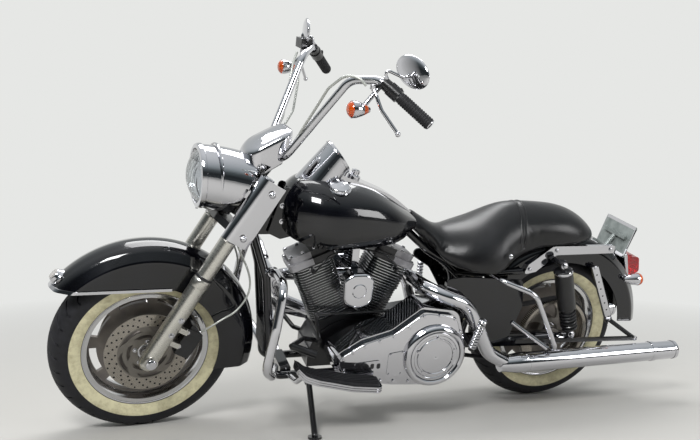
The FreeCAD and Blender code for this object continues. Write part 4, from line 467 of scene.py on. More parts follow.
def satin_black():
    """Powder-coated black of frame and brackets: low sheen, fine peel, grey road dust."""
    made, tree, shader = surface("satin_black_powder", Coat_Weight=0.25, Coat_Roughness=0.2)
    spot = object_point(tree)
    dust = spread(tree, noise(tree, spot, 110, 5.0), 0.5, 0.75, 0.0, 1.0)
    attach(tree, shader, Base_Color=mix(tree, dust, linear("#08080a"), linear("#1a1a1e")),
           Roughness=spread(tree, dust, 0.0, 1.0, 0.28, 0.5),
           Normal=bump(tree, noise(tree, spot, 3.0, 2.0), 0.03, 0.5))
    return made


def tyre_rubber(name, hub):
    """Whitewall tyre: cream band with grubby patches, fine ribs at the bead, dusty grey-black tread."""
    made, tree, shader = surface(name, Specular_IOR_Level=0.35)
    spot = object_point(tree, hub)
    radius = radius_at(tree, spot)
    inner = spread(tree, radius, 0.2185, 0.2195, 0.0, 1.0)
    outer = spread(tree, radius, 0.2595, 0.2605, 1.0, 0.0)
    band = calculate(tree, "MULTIPLY", inner, outer)
    grime = spread(tree, noise(tree, spot, 26, 6.0, 0.65), 0.42, 0.7, 0.0, 1.0)
    dust = spread(tree, noise(tree, spot, 18, 5.0, 0.6), 0.35, 0.75, 0.0, 1.0)
    cream = mix(tree, grime, linear("#d3cdab"), linear("#b0a888"))
    black = mix(tree, dust, linear("#131316"), linear("#26262b"))
    ribs = add(tree, "ShaderNodeTexWave", {"Vector": spot, "Scale": 190.0}, wave_type="RINGS",
               rings_direction="Y").outputs["Fac"]
    near_bead = spread(tree, radius, 0.2165, 0.219, 1.0, 0.0)
    attach(tree, shader, Base_Color=mix(tree, band, black, cream),
           Roughness=spread(tree, dust, 0.0, 1.0, 0.55, 0.8),
           Normal=bump(tree, calculate(tree, "MULTIPLY", ribs, near_bead), 0.4, 0.6))
    return made


def black_rubber():
    """Moulded black rubber of grips, pads and belt: matt, faintly mottled."""
    made, tree, shader = surface("moulded_black_rubber", Specular_IOR_Level=0.4)
    spot = object_point(tree)
    grain = noise(tree, spot, 1.1, 2.0)
    attach(tree, shader, Base_Color=mix(tree, noise(tree, spot, 24, 4.0), linear("#101012"), linear("#1c1c20")),
           Roughness=spread(tree, grain, 0.3, 0.7, 0.5, 0.68), Normal=bump(tree, grain, 0.06, 0.6))
    return made


def seat_leather():
    """Black seat cover: pebbled vinyl grain with broad soft sheen where it is sat on."""
    made, tree, shader = surface("black_seat_cover", Sheen_Weight=0.05, Sheen_Roughness=0.4,
                                 Specular_IOR_Level=0.5)
    spot = object_point(tree)
    cells = add(tree, "ShaderNodeTexVoronoi", {"Vector": spot, "Scale": per_mm(1.7), "Randomness": 0.9},
                feature="DISTANCE_TO_EDGE").outputs["Distance"]
    grain = spread(tree, cells, 0.0, 0.25, 0.0, 1.0)
    worn = spread(tree, noise(tree, spot, 160, 4.0), 0.4, 0.7, 0.0, 1.0)
    attach(tree, shader, Base_Color=mix(tree, worn, linear("#070709"), linear("#0e0e12")),
           Roughness=spread(tree, worn, 0.0, 1.0, 0.28, 0.38), Normal=bump(tree, grain, 0.10, 0.5))
    return made


def clear_glass():
    """Clear pressed glass with vertical flutes that break up the light."""
    made, tree, shader = surface("clear_fluted_glass", Base_Color=linear("#f4f7f8"), Transmission_Weight=1.0,
                                 Roughness=0.02, IOR=1.45)
    spot = object_point(tree, FORK)
    flutes = add(tree, "ShaderNodeTexWave", {"Vector": spot, "Scale": 26.0}, bands_direction="Y").outputs["Fac"]
    attach(tree, shader, Normal=bump(tree, flutes, 0.35, 0.6))
    return made


def lens(name, light, dark, size):
    """Coloured lamp plastic: see-through body with moulded prism cells, each with a painted glint that makes it lighter
    at its centre.
    """
    made, tree, shader = surface(name, Transmission_Weight=0.55, Roughness=0.08, IOR=1.49,
                                 Coat_Weight=0.6, Coat_Roughness=0.03)
    spot = object_point(tree)
    prisms_and_painted_glint = add(tree, "ShaderNodeTexVoronoi", {"Vector": spot, "Scale": per_mm(size), "Randomness": 0.15})
    # Painted glint: each prism cell is coloured lighter at its centre than at its edge; the same cells give the bump.
    attach(tree, shader, Base_Color=mix(tree, prisms_and_painted_glint.outputs["Distance"], linear(light), linear(dark)),
           Normal=bump(tree, prisms_and_painted_glint.outputs["Distance"], 0.6, 0.6))
    return made


def plate_paint():
    """Blank number plate: pale weathered enamel with dirty edges."""
    made, tree, shader = surface("weathered_plate_enamel", Metallic=0.2)
    spot = object_point(tree)
    dirt = spread(tree, noise(tree, spot, 40, 5.0), 0.4, 0.7, 0.0, 1.0)
    attach(tree, shader, Base_Color=mix(tree, dirt, linear("#8e9593"), linear("#6c7371")),
           Roughness=spread(tree, dirt, 0.0, 1.0, 0.3, 0.5))
    return made


def cable_sleeve():
    """Clear-coated braided cable: pale twisted strands under a glossy skin."""
    made, tree, shader = surface("braided_cable_sleeve", Metallic=0.5, Coat_Weight=0.8, Coat_Roughness=0.12)
    spot = object_point(tree)
    weave = add(tree, "ShaderNodeTexVoronoi", {"Vector": spot, "Scale": per_mm(1.3), "Randomness": 0.2})
    attach(tree, shader, Base_Color=mix(tree, weave.outputs["Distance"], linear("#c9cbc6"), linear("#8f918c")),
           Roughness=spread(tree, weave.outputs["Distance"], 0.0, 0.6, 0.25, 0.45))
    return made


def mirror_glass():
    """Silvered mirror glass, near perfect, with a trace of haze."""
    made, tree, shader = surface("silvered_mirror_glass", Metallic=1.0, Base_Color=linear("#f2f4f5"))
    spot = object_point(tree)
    attach(tree, shader, Roughness=spread(tree, noise(tree, spot, 60, 3.0), 0.4, 0.7, 0.01, 0.04))
    return made


def dial_black():
    """Instrument face: matt black card with a faint sunburst fleck."""
    made, tree, shader = surface("instrument_face_black", Specular_IOR_Level=0.3)
    spot = object_point(tree)
    attach(tree, shader, Base_Color=mix(tree, noise(tree, spot, 2.0, 2.0), linear("#0b0b0d"), linear("#151518")),
           Roughness=spread(tree, noise(tree, spot, 5.0, 2.0), 0.3, 0.7, 0.5, 0.62))
    return made


def dial_white():
    """Screen-printed white of scale marks, slightly uneven ink."""
    made, tree, shader = surface("printed_scale_white", Roughness=0.55)
    spot = object_point(tree)
    attach(tree, shader,
           Base_Color=mix(tree, noise(tree, spot, 3.0, 2.0), linear("#e8e8e2"), linear("#cfcfc8")))
    return made


def bead_metal():
    """Zinc-plated fastener steel: grey, lightly brushed."""
    made, tree, shader = surface("plated_fastener_steel", Metallic=1.0)
    spot = object_point(tree)
    marks = noise(tree, spot, 2.2, 3.0)
    attach(tree, shader, Base_Color=mix(tree, marks, linear("#aeb0b2"), linear("#cdced0")),
           Roughness=spread(tree, marks, 0.3, 0.7, 0.16, 0.3))
    return made


def pavement():
    """Plain pale studio floor that runs into the backdrop's colour far from the bike."""
    made, tree, shader = surface("pale_studio_floor", Specular_IOR_Level=0.2)
    spot = object_point(tree)
    tone = noise(tree, spot, 900, 3.0)
    attach(tree, shader, Base_Color=mix(tree, tone, linear("#b9b7b3"), linear("#b4b2ae")),
           Roughness=spread(tree, tone, 0.3, 0.7, 0.62, 0.7))
    flat = add(tree, "ShaderNodeVectorMath", {0: spot}, operation="LENGTH").outputs["Value"]
    rays = add(tree, "ShaderNodeLightPath")
    beyond = add(tree, "ShaderNodeVectorMath", {0: spot, 1: BEYOND}, operation="DOT_PRODUCT").outputs["Value"]
    mirrored = calculate(tree, "MULTIPLY", rays.outputs["Is Glossy Ray"], spread(tree, beyond, -0.8, 1.2, 0.0, 1.0))
    direct = calculate(tree, "MAXIMUM", rays.outputs["Is Camera Ray"], rays.outputs["Is Transmission Ray"])
    shown = calculate(tree, "MAXIMUM", direct, mirrored)
    far = calculate(tree, "MULTIPLY", spread(tree, flat, 1.6, 4.2, 0.0, 1.0), shown)
    wall = add(tree, "ShaderNodeEmission", {"Color": linear(BACKDROP), "Strength": 1.0})
    both = add(tree, "ShaderNodeMixShader", {"Fac": far, 1: shader.outputs[0], 2: wall.outputs[0]})
    out = next(n for n in tree.nodes if n.bl_idname == "ShaderNodeOutputMaterial")
    tree.links.new(both.outputs[0], out.inputs["Surface"])
    return made


FINISHES = {
    "gloss_black": gloss_black,
    "chrome": chrome,
    "satin_alloy": satin_alloy,
    "front_wheel": lambda: cast_wheel("cast_front_wheel", FRONT_HUB),
    "rear_wheel": lambda: cast_wheel("cast_rear_wheel", REAR_HUB),
    "front_rotor": lambda: rotor_steel("front_disc_steel", FRONT_HUB),
    "rear_rotor": lambda: rotor_steel("rear_disc_steel", REAR_HUB),
    "engine_grey": engine_grey,
    "finned_black": finned_black,
    "satin_black": satin_black,
    "front_tyre": lambda: tyre_rubber("front_whitewall_rubber", FRONT_HUB),
    "rear_tyre": lambda: tyre_rubber("rear_whitewall_rubber", REAR_HUB),
    "black_rubber": black_rubber,
    "seat_leather": seat_leather,
    "clear_glass": clear_glass,
    # For each lens the first colour is the painted glint at the centres of the prism cells, the second the darker tone
    # at their edges.
    "amber_lens": lambda: lens("amber_lamp_plastic", "#ff7a1c", "#f04e08", 5.0),
    "red_lens": lambda: lens("red_lamp_plastic", "#d0141c", "#a00a12", 6.0),
    "pale_lens": lambda: lens("pale_lamp_plastic", "#e9e6e2", "#cfc9c4", 5.0),
    "plate_paint": plate_paint,
    "cable_sleeve": cable_sleeve,
    "mirror_glass": mirror_glass,
    "dial_black": dial_black,
    "dial_white": dial_white,
    "fastener": bead_metal,
    "floor": pavement,
}
MADE = {}


def material(name):
    if name not in MADE:
        MADE[name] = FINISHES[name]()
    return MADE[name]


SLOT_FINISH = {
    "gloss_black": "gloss_black", "chrome": "chrome", "satin_alloy": "satin_alloy",
    "engine_grey": "engine_grey", "satin_black": "satin_black", "black_rubber": "black_rubber",
    "seat_leather": "seat_leather", "clear_lens": "clear_glass", "amber_lens": "amber_lens",
    "red_lens": "red_lens", "plate_paint": "plate_paint", "cable_sleeve": "cable_sleeve",
    "cast_wheel": "rear_wheel", "rotor_steel": "rear_rotor", "tyre_rubber": "rear_tyre",
}
NODE_FINISH = {
    "front_wheel": "front_wheel", "rear_wheel": "rear_wheel", "front_rotors": "front_rotor",
    "rear_rotor": "rear_rotor", "front_tyre": "front_tyre", "rear_tyre": "rear_tyre",
    "cylinders": "finned_black", "rocker_boxes": "engine_grey",
}


def finish_nodes():
    """Give every CAD node its finish."""
    slots = {part["node"]: part["material_slot"] for part in frame["record"]["subparts"]}
    for name, obj in frame["nodes"].items():
        finish = NODE_FINISH.get(name) or SLOT_FINISH[slots[name]]
        obj.data.materials.clear()
        obj.data.materials.append(material(finish))


# Shared shapes of the small parts

def arc_points(first, via, last, count):
    """Points along the circle through three points of a plane, without the last one."""
    (ax, ay), (bx, by), (cx, cy) = first, via, last
    d = 2 * (ax * (by - cy) + bx * (cy - ay) + cx * (ay - by))
    ux = ((ax ** 2 + ay ** 2) * (by - cy) + (bx ** 2 + by ** 2) * (cy - ay) + (cx ** 2 + cy ** 2) * (ay - by)) / d
    uy = ((ax ** 2 + ay ** 2) * (cx - bx) + (bx ** 2 + by ** 2) * (ax - cx) + (cx ** 2 + cy ** 2) * (bx - ax)) / d
    radius = math.hypot(ax - ux, ay - uy)
    start, middle, end = (math.atan2(y - uy, x - ux) for x, y in (first, via, last))
    while middle < start:
        middle += math.tau
    while end < start:
        end += math.tau
    if middle > end:
        end -= math.tau
    return [(ux + radius * math.cos(start + (end - start) * i / count),
             uy + radius * math.sin(start + (end - start) * i / count)) for i in range(count)]


def rounded(corners, radius, steps=5):
    """Closed outline with each corner rounded."""
    made = []
    count = len(corners)
    for i, corner in enumerate(corners):
        spot = Vector(corner)
        back = (Vector(corners[i - 1]) - spot)
        ahead = (Vector(corners[(i + 1) % count]) - spot)
        reach = min(radius, back.length * 0.45, ahead.length * 0.45)
        start, end = spot + back.normalized() * reach, spot + ahead.normalized() * reach
        for k in range(steps + 1):
            t = k / steps
            made.append(tuple(start.lerp(spot, t).lerp(spot.lerp(end, t), t)))
    return made


def smooth_path(points, steps=8):
    """Points along the NURBS spline that has these as its control points."""
    route = bpy.data.curves.new("route", "CURVE")
    route.dimensions, route.resolution_u = "3D", steps
    spline = route.splines.new("NURBS")
    spline.points.add(len(points) - 1)
    for spot, point in zip(spline.points, points):
        spot.co = (*point, 1)
    spline.order_u = 3
    spline.use_endpoint_u = True
    carrier = bpy.data.objects.new("route", route)
    line = bpy.data.meshes.new_from_object(carrier)
    way = [spot.co.copy() for spot in line.vertices]
    bpy.data.objects.remove(carrier)
    bpy.data.meshes.remove(line)
    bpy.data.curves.remove(route)
    return way


# Tyres and wheels

def tyre_columns(width):
    """(radius, y) of the tyre's skin from one bead to the other, with the tread's columns."""
    half = width / 2
    shoulder = half * 0.76
    crown = TYRE_RADIUS - CROWN_RADIUS

    def crown_at(y):
        return crown + math.sqrt(CROWN_RADIUS ** 2 - y * y), y
    edge, bulge = crown_at(shoulder)[0], TYRE_RADIUS * 0.83
    wall = [(206.5, 44.0), (216.8, 46.2), (217.4, 53.6)]
    wall += arc_points((217.4, 54.0), (bulge - 20, half - 1.2), (bulge, half), 8)[1:]
    wall += arc_points((bulge, half), ((bulge + edge) / 2 + 2, half - 4.5), (edge, shoulder), 8)
    inner = [2.2, 1.8]
    across = [shoulder - 0.5] + [shoulder * share for share in (0.93, 0.85, 0.75, 0.65, 0.55, 0.44, 0.33, 0.24)]
    across += [shoulder * 0.2 + 0.7, shoulder * 0.2 - 0.3] + inner
    one = wall + [crown_at(y) for y in across]
    return one + [(r, -y) for r, y in reversed(one)]


def treaded_tyre(name, width, hub, body, node, depth, pitches):
    """Tyre skin drawn round in rings; each side has curved grooves swept back towards the shoulder."""
    columns = tyre_columns(width)
    shoulder = width / 2 * 0.76
    lines = (0.0, 0.012, 0.115, 0.127, 0.5, 0.512, 0.615, 0.627)
    form = Form()
    mesh = form.mesh
    turns = [(p + share) * math.tau / pitches for p in range(pitches) for share in lines]
    verts = [mesh.verts.new((r, y, 0.0)) for r, y in columns]
    edges = [mesh.edges.new(pair) for pair in zip(verts, verts[1:])]
    rings = [verts]
    for turn, before in zip(turns[1:], turns):
        made = bmesh.ops.extrude_edge_only(mesh, edges=edges)
        verts = [g for g in made["geom"] if isinstance(g, bmesh.types.BMVert)]
        edges = [g for g in made["geom"] if isinstance(g, bmesh.types.BMEdge) and all(v in verts for v in g.verts)]
        bmesh.ops.rotate(mesh, verts=verts, cent=ORIGIN, matrix=Matrix.Rotation(turn - before, 3, "Y"))
        rings.append(verts)
    first_loop = [e for e in mesh.edges if len(e.link_faces) == 1
                  and all(abs(v.co.z) < 1e-4 and v.co.x > 0 for v in e.verts)]
    bmesh.ops.bridge_loops(mesh, edges=first_loop + edges)
    for index, ring in enumerate(rings):
        line = index % len(lines)
        side = RIGHT if line < 4 else LEFT
        sunk = line in (1, 2, 5, 6)
        for vert in ring:
            y = vert.co.y
            reach = min(abs(y) / shoulder, 1.0)
            radius = math.hypot(vert.co.x, vert.co.z)
            in_tread = radius > TYRE_RADIUS * 0.9
            fall = 0.0
            if sunk and y * side > 0.2 * shoulder and in_tread:
                fall = depth * min(1.0, max(0.0, (radius - TYRE_RADIUS * 0.9) / 9))
            if abs(y) < 2.0:
                fall = max(fall, depth * 0.7)
            lean = -0.62 * math.tau / pitches * reach ** 1.25
            share = (radius - fall) / radius
            spot = Matrix.Rotation(lean, 3, "Y") @ Vector((vert.co.x * share, y, vert.co.z * share))
            vert.co = spot
    tyre = form.made(name, hub, body, "tyre_rubber", node, 38)
    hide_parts(node)
    return tyre


def dress_tyres(size):
    treaded_tyre("front_tyre_tread", 130.0, FRONT_HUB, "front_wheel_set", "front_tyre", size.tread_depth, size.tread_pitches)
    treaded_tyre("rear_tyre_tread", 142.0, REAR_HUB, "rear_wheel_set", "rear_tyre", size.tread_depth, size.tread_pitches)


def dress_wheel(hub, body, finish, faces, rotor_faces):
    """Bolts that hold the discs, drilled holes in them drawn as thin matt black discs of painted shade, bright rim bead
    and valve.
    """
    bright, dark = Form(), Form()
    for side, face in rotor_faces:
        for turn, a, b in ring_points(5, 43, 18):
            bright.bolt((a, face, b), (0, side, 0), 6.5, 4, 6, dome=1.5, washer=1.35)
        # The holes are not cut: each is a thin matt black disc on the rotor face, painted shade where a hole would be.
        for row, radius in enumerate((108, 119, 130, 140)):
            for turn, a, b in ring_points(20, radius, row * 6.5):
                dark.lathe([(0, -0.4), (3.4, -0.4), (3.4, 0.3), (0, 0.3)], Vector((a, face, b)), (0, side, 0), 14)
    for side in SIDES:
        y = side * 52.6
        bright.lathe([(211, side * 50.5), (213, side * 52.2), (217.5, side * 53.2), (218.6, side * 51.4),
                      (217.4, side * 48)], ORIGIN, ALONG_Y, 128)
        bright.lathe([(24, side * 67), (24, side * 69.4), (30, side * 69.4), (34, side * 67.6)], ORIGIN, ALONG_Y, 40)
    bright.pipe([(0, -10, 201), (0, -14, 190), (0, -20, 184), (0, -26, 172)], [5, 4.2, 3.6, 3.6], 10)
    bright.made(body + "_bright", hub, body, "chrome", "chrome")
    if dark.mesh.verts:
        dark.made(body + "_painted_hole_shade", hub, body, "rotor_steel", "dial_black")


def dress_wheels(size):
    dress_wheel(FRONT_HUB, "front_wheel_set", "front_wheel", None, [(LEFT, -73.1), (RIGHT, 73.1)])
    dress_wheel(REAR_HUB, "rear_wheel_set", "rear_wheel", None, [(RIGHT, 73.1)])


# Fork, lamps and controls

TUBE_Y = 120.0


def dress_fork(size):
    """Slider shoulders, seals, fender and caliper bolts, and the bolts of the lower clamp."""
    bright, black, satin = Form(), Form(), Form()
    for side in SIDES:
        y = side * TUBE_Y
        at = Vector((0, y, 0))
        satin.lathe([(31.2, 306), (32.2, 308), (32.2, 331), (31.0, 336), (29.4, 338)], at, ALONG_Z, 48)
        for height in (531, 708):
            nut = Vector((26, y + side * 32, height))
            bright.lathe([(0, 0.2), (14, 0.2), (14, 2.2), (12.4, 3), (11.4, 3)], nut, (0, side, 0), 32)
            bright.bolt(nut + Vector((0, side * 3, 0)), (0, side, 0), 11, 5, 6)
            bright.lathe([(9.6, 8), (9.2, 11), (6.8, 14.4), (3.2, 16), (0, 16.3)], nut, (0, side, 0), 24)
        black.lathe([(29.2, 338), (30.6, 340), (30.6, 346), (29.2, 349)], at, ALONG_Z, 48)
        bright.lathe([(20.6, 741.5), (20.6, 745), (17, 749), (0, 751)], at, ALONG_Z, 40)
        bright.bolt((-20, y - side * 2, -14), (-1, 0, -0.2), 6, 5, 6, dome=1.5)
        for height in (120, 182):
            bright.bolt((6, y + side * 30.6, height), (0, side, 0), 7.5, 5, 6, dome=3.5, washer=1.4)
        for height in (84, 142):
            bright.bolt((66, y + side * 0.5 - side * 4, height), (0, side, 0), 8.0, 5, 6, washer=1.4)
        black.slab(rounded([(62, 66), (122, 66), (122, 158), (62, 158)], 14), -3, 3.4,
                   Matrix.Translation((0, side * 116, 0)) @ Matrix.Rotation(-math.pi / 2, 4, "X")
                   @ Matrix.Scale(-1, 4, (0, 1, 0)), 2.4, 3)
    bright.made("fork_brightwork", FORK_LINE, "fork", "chrome", "chrome")
    black.made("fork_seals_and_caliper_faces", FORK_LINE, "fork", "satin_black", "satin_black")
    satin.made("slider_collars", FORK_LINE, "fork", "satin_alloy", "satin_alloy")


HOSE_ROUTE = ((-650, 92, 384), (-604, 112, 418), (-556, 112, 450), (-504, 100, 467), (-457, 92, 533),
              (-459, 80, 603), (-500, 58, 690), (-534, 48, 776))


def dress_hoses(size):
    """Brake hoses as one easy curve each, with crimped ends, in place of the plain packed ones."""
    hose, ends = Form(), Form()
    for side in SIDES:
        way = smooth_path([(x, side * y, z) for x, y, z in HOSE_ROUTE], 10)
        hose.pipe(way, 3.6, 12)
        for first, second in ((way[0], way[2]), (way[-1], way[-3])):
            along = second - first
            ends.lathe([(0, -2), (6, -2), (6, 14), (5, 16), (5, 26), (3.8, 28)], first, along, 20)
    made = hose.made("brake_hose_sleeves", FORK, "fork", "cable_sleeve", "cable_sleeve")
    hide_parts("brake_hoses")
    ends.made("hose_ends", FORK, "fork", "chrome", "chrome")


LAMP = Vector((-643.0, 0.0, 942.0))


def dress_headlamp(size):
    """Stepped rim, seam bead, bulb with its shield, and clamp screw of the headlamp."""
    rim = Form()
    rim.lathe([(91.5, 2), (93, 7.5), (100, 9), (107, 6.5), (110.4, 0), (110.6, -9), (108, -11)], LAMP, -ALONG_X, 96)
    rim.lathe([(110.0, -52), (112.4, -55), (112.4, -59), (110.0, -62)], LAMP - ALONG_X * -2, -ALONG_X, 96)
    rim.bolt(LAMP + Vector((2, 0, -110)), (0, 0, -1), 4.5, 8, 12)
    rim.lathe([(0, -16), (15, -20), (18, -30), (18, -33), (0, -34)], LAMP, -ALONG_X, 40)
    for turn, a, b in ring_points(3, 15, 30):
        rim.pipe([LAMP + Vector((32, a, b)), LAMP + Vector((52, a * 1.2, b * 1.2))], 1.3, 8)
    rim.made("headlamp_rim_and_bulb_shield", FORK, "fork", "chrome", "chrome")
    dark = Form()
    dark.lathe([(13.8, -54), (13.8, -57), (0, -57)], LAMP, -ALONG_X, 32)
    dark.made("headlamp_socket", FORK, "fork", "satin_black", "satin_black")


BAR_OUT, BAR_END = Vector((-158, 317, 1346)), Vector((-39, 446, 1241))


def bar_spot(back, side):
    spot = BAR_END - (BAR_END - BAR_OUT).normalized() * back
    return Vector((spot.x, side * spot.y, spot.z))


def bar_way(side):
    way = (BAR_END - BAR_OUT).normalized()
    return Vector((way.x, side * way.y, way.z))


def mirror_seat(side):
    return Vector((-64, -338, 1380)) if side == LEFT else Vector((-176, 344, 1398))


def dress_controls(size):
    """Grip ribs, switches, pivots, mirror glasses and their rims."""
    rubber, black, bright, glass = Form(), Form(), Form(), Form()
    for side in SIDES:
        way, end = bar_way(side), bar_spot(-3, side)
        profile = [(17.0, 0.6)]
        for k in range(size.grip_ribs):
            start = 4 + k * 118 / size.grip_ribs
            step = 118 / size.grip_ribs
            profile += [(18.1, start), (19.7, start + step * 0.25), (19.7, start + step * 0.6),
                        (18.1, start + step * 0.8)]
        rubber.lathe(profile + [(17.0, 124)], end, -way, 36)
        bright.lathe([(0, -5), (9, -4.6), (16, -2.4), (17.6, 0), (17.6, 3)], end, -way, 36)
        seat = bar_spot(148, side)
        for k, (drop, wide) in enumerate(((10, 8), (-4, 6), (-16, 5))):
            black.lathe([(0, 0), (wide, 0), (wide, 5), (wide - 1.5, 6.5), (0, 6.5)],
                        seat + Vector((14, 0, drop * 0.6)) + Vector((6, 0, 0)), (1, 0, 0.15), 20)
        pivot = bar_spot(182, side)
        bright.bolt((pivot.x - 44, pivot.y, pivot.z - 4), (0, 0, 1), 6, 4, 6, dome=1.5)
        bright.bolt((pivot.x - 44, pivot.y, pivot.z - 16), (0, 0, -1), 5, 4, 6)
        head = mirror_seat(side)
        face = (Matrix.Translation(head) @ Matrix.Rotation(math.radians(side * -8), 4, "X")
                @ Matrix.Rotation(math.radians(side * -14), 4, "Z"))
        rim, pane = [], []
        for k in range(48):
            turn = math.tau * k / 48
            rim.append((75.5 * math.cos(turn), 46.8 * math.sin(turn)))
            pane.append((72.5 * math.cos(turn), 44.0 * math.sin(turn)))
        lie = face @ Matrix.Rotation(math.pi / 2, 4, "Y") @ Matrix.Rotation(math.pi / 2, 4, "Z")
        bright.slab(rim, 2.5, 5.4, lie, 1.2, 2)
        glass.slab(pane, 5.0, 6.2, lie)
        bright.lathe([(0, 0), (8, 0), (8, 9), (5, 12), (0, 12)], bar_spot(182, side) + Vector((-4, 0, 16)), ALONG_Z, 24)
    rubber.made("grip_ribs", FORK, "fork", "black_rubber", "black_rubber")
    black.made("switch_buttons", FORK, "fork", "satin_black", "satin_black")
    bright.made("control_brightwork", FORK, "fork", "chrome", "chrome")
    glass.made("mirror_glasses", FORK, "fork", "chrome", "mirror_glass")


def dress_front_signals(size):
    """Chrome bullets behind the amber lenses."""
    shell = Form()
    for side in SIDES:
        at = Vector((-274, side * 350, 1260))
        shell.lathe([(25.2, 12), (27.2, 13), (27.2, 25), (21.8, 45), (14.5, 60), (8.4, 73), (0, 73.5)], at, ALONG_X, 48)
        seat = bar_spot(182, side)
        shell.pipe([at + Vector((44, 0, 0)), (seat.x - 20, seat.y, seat.z - 4)], 7.8, 20)
    shell.made("front_signal_bullets", FORK, "fork", "chrome", "chrome")


CLAMP_MIDDLE = Vector((-414, 0))
CLAMP_PLAN = ((-499, -28), (-468, -74), (-352, -74), (-329, -40), (-329, 40), (-352, 74), (-468, 74), (-499, 28))
CLAMP_FOOT = ((-499, 984), (-436, 958), (-376, 994), (-329, 1096))
CLAMP_ROUND, CLAMP_CROWN = 24.0, 7.0


def dress_clamp_cover():
    """Crowned shell over the handlebar's clamp: upright wall, round shoulder and a slightly domed top."""
    outline = [Vector(spot) for spot in rounded(CLAMP_PLAN, 40, 8)]

    def top_at(x):
        return 1040 + (x + 498) * 0.519

    def foot_at(x):
        for (x0, z0), (x1, z1) in zip(CLAMP_FOOT, CLAMP_FOOT[1:]):
            if x <= x1:
                return z0 + (z1 - z0) * (x - x0) / (x1 - x0)
        return CLAMP_FOOT[-1][1]

    def loop(share, level):
        spots = [CLAMP_MIDDLE + (spot - CLAMP_MIDDLE) * share for spot in outline]
        return [Vector((x, y, level(x))) for x, y in spots]

    loops = [loop(0.96, foot_at), loop(1.0, lambda x: foot_at(x) + 5)]
    for k in range(9):
        turn = math.radians(90 * k / 8)
        share = 1 - CLAMP_ROUND * (1 - math.cos(turn)) / 74
        loops.append(loop(share, lambda x: top_at(x) - CLAMP_ROUND * (1 - math.sin(turn))))
    shoulder = 1 - CLAMP_ROUND / 74
    for k in range(1, 7):
        share = 1 - k / 6
        loops.append(loop(shoulder * share, lambda x: top_at(x) + CLAMP_CROWN * (1 - share ** 2)))
    shell = Form().rings(loops, joined=False).made("clamp_cover_shell", FORK, "fork", "chrome", "chrome")
    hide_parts("bar_clamp_cover")


def dress_fork_trim(size):
    """Fender tip lamp lens, the screws and crowned shell of the cover over the bar's clamp, the rounded fork covers and
    the brake hoses.
    """
    lens, bright = Form(), Form()
    turn = math.radians(136)
    way = Vector((math.cos(turn), 0, math.sin(turn)))
    lens.lathe([(0, 31), (18, 28), (21.5, 21), (22, 16), (0, 15)], way * 388, way, 40)
    lens.made("fender_tip_lens", FRONT_HUB, "fork", "clear_lens", "pale_lens")
    for side in SIDES:
        for x, z in ((-452, 992), (-366, 1052)):
            bright.bolt((x, side * 74.2, z), (0, side, 0), 6.5, 4, 6, dome=2.5, washer=1.3)
    bright.made("clamp_cover_bolts", FORK, "fork", "chrome", "chrome")
    dress_clamp_cover()
    softened("fork_covers", "fork_cover_shells", "chrome", 3.0, lambda spot: True, "fork", FORK_LINE)
    dress_hoses(size)


# Tank and engine

def on_plane(centre, normal, up=ALONG_Z):
    """Placement at a centre with its z along a normal and its y as near to up as it can be."""
    third = Vector(normal).normalized()
    second = (Vector(up) - third * Vector(up).dot(third)).normalized()
    return columns(second.cross(third), second, third, Vector(centre))


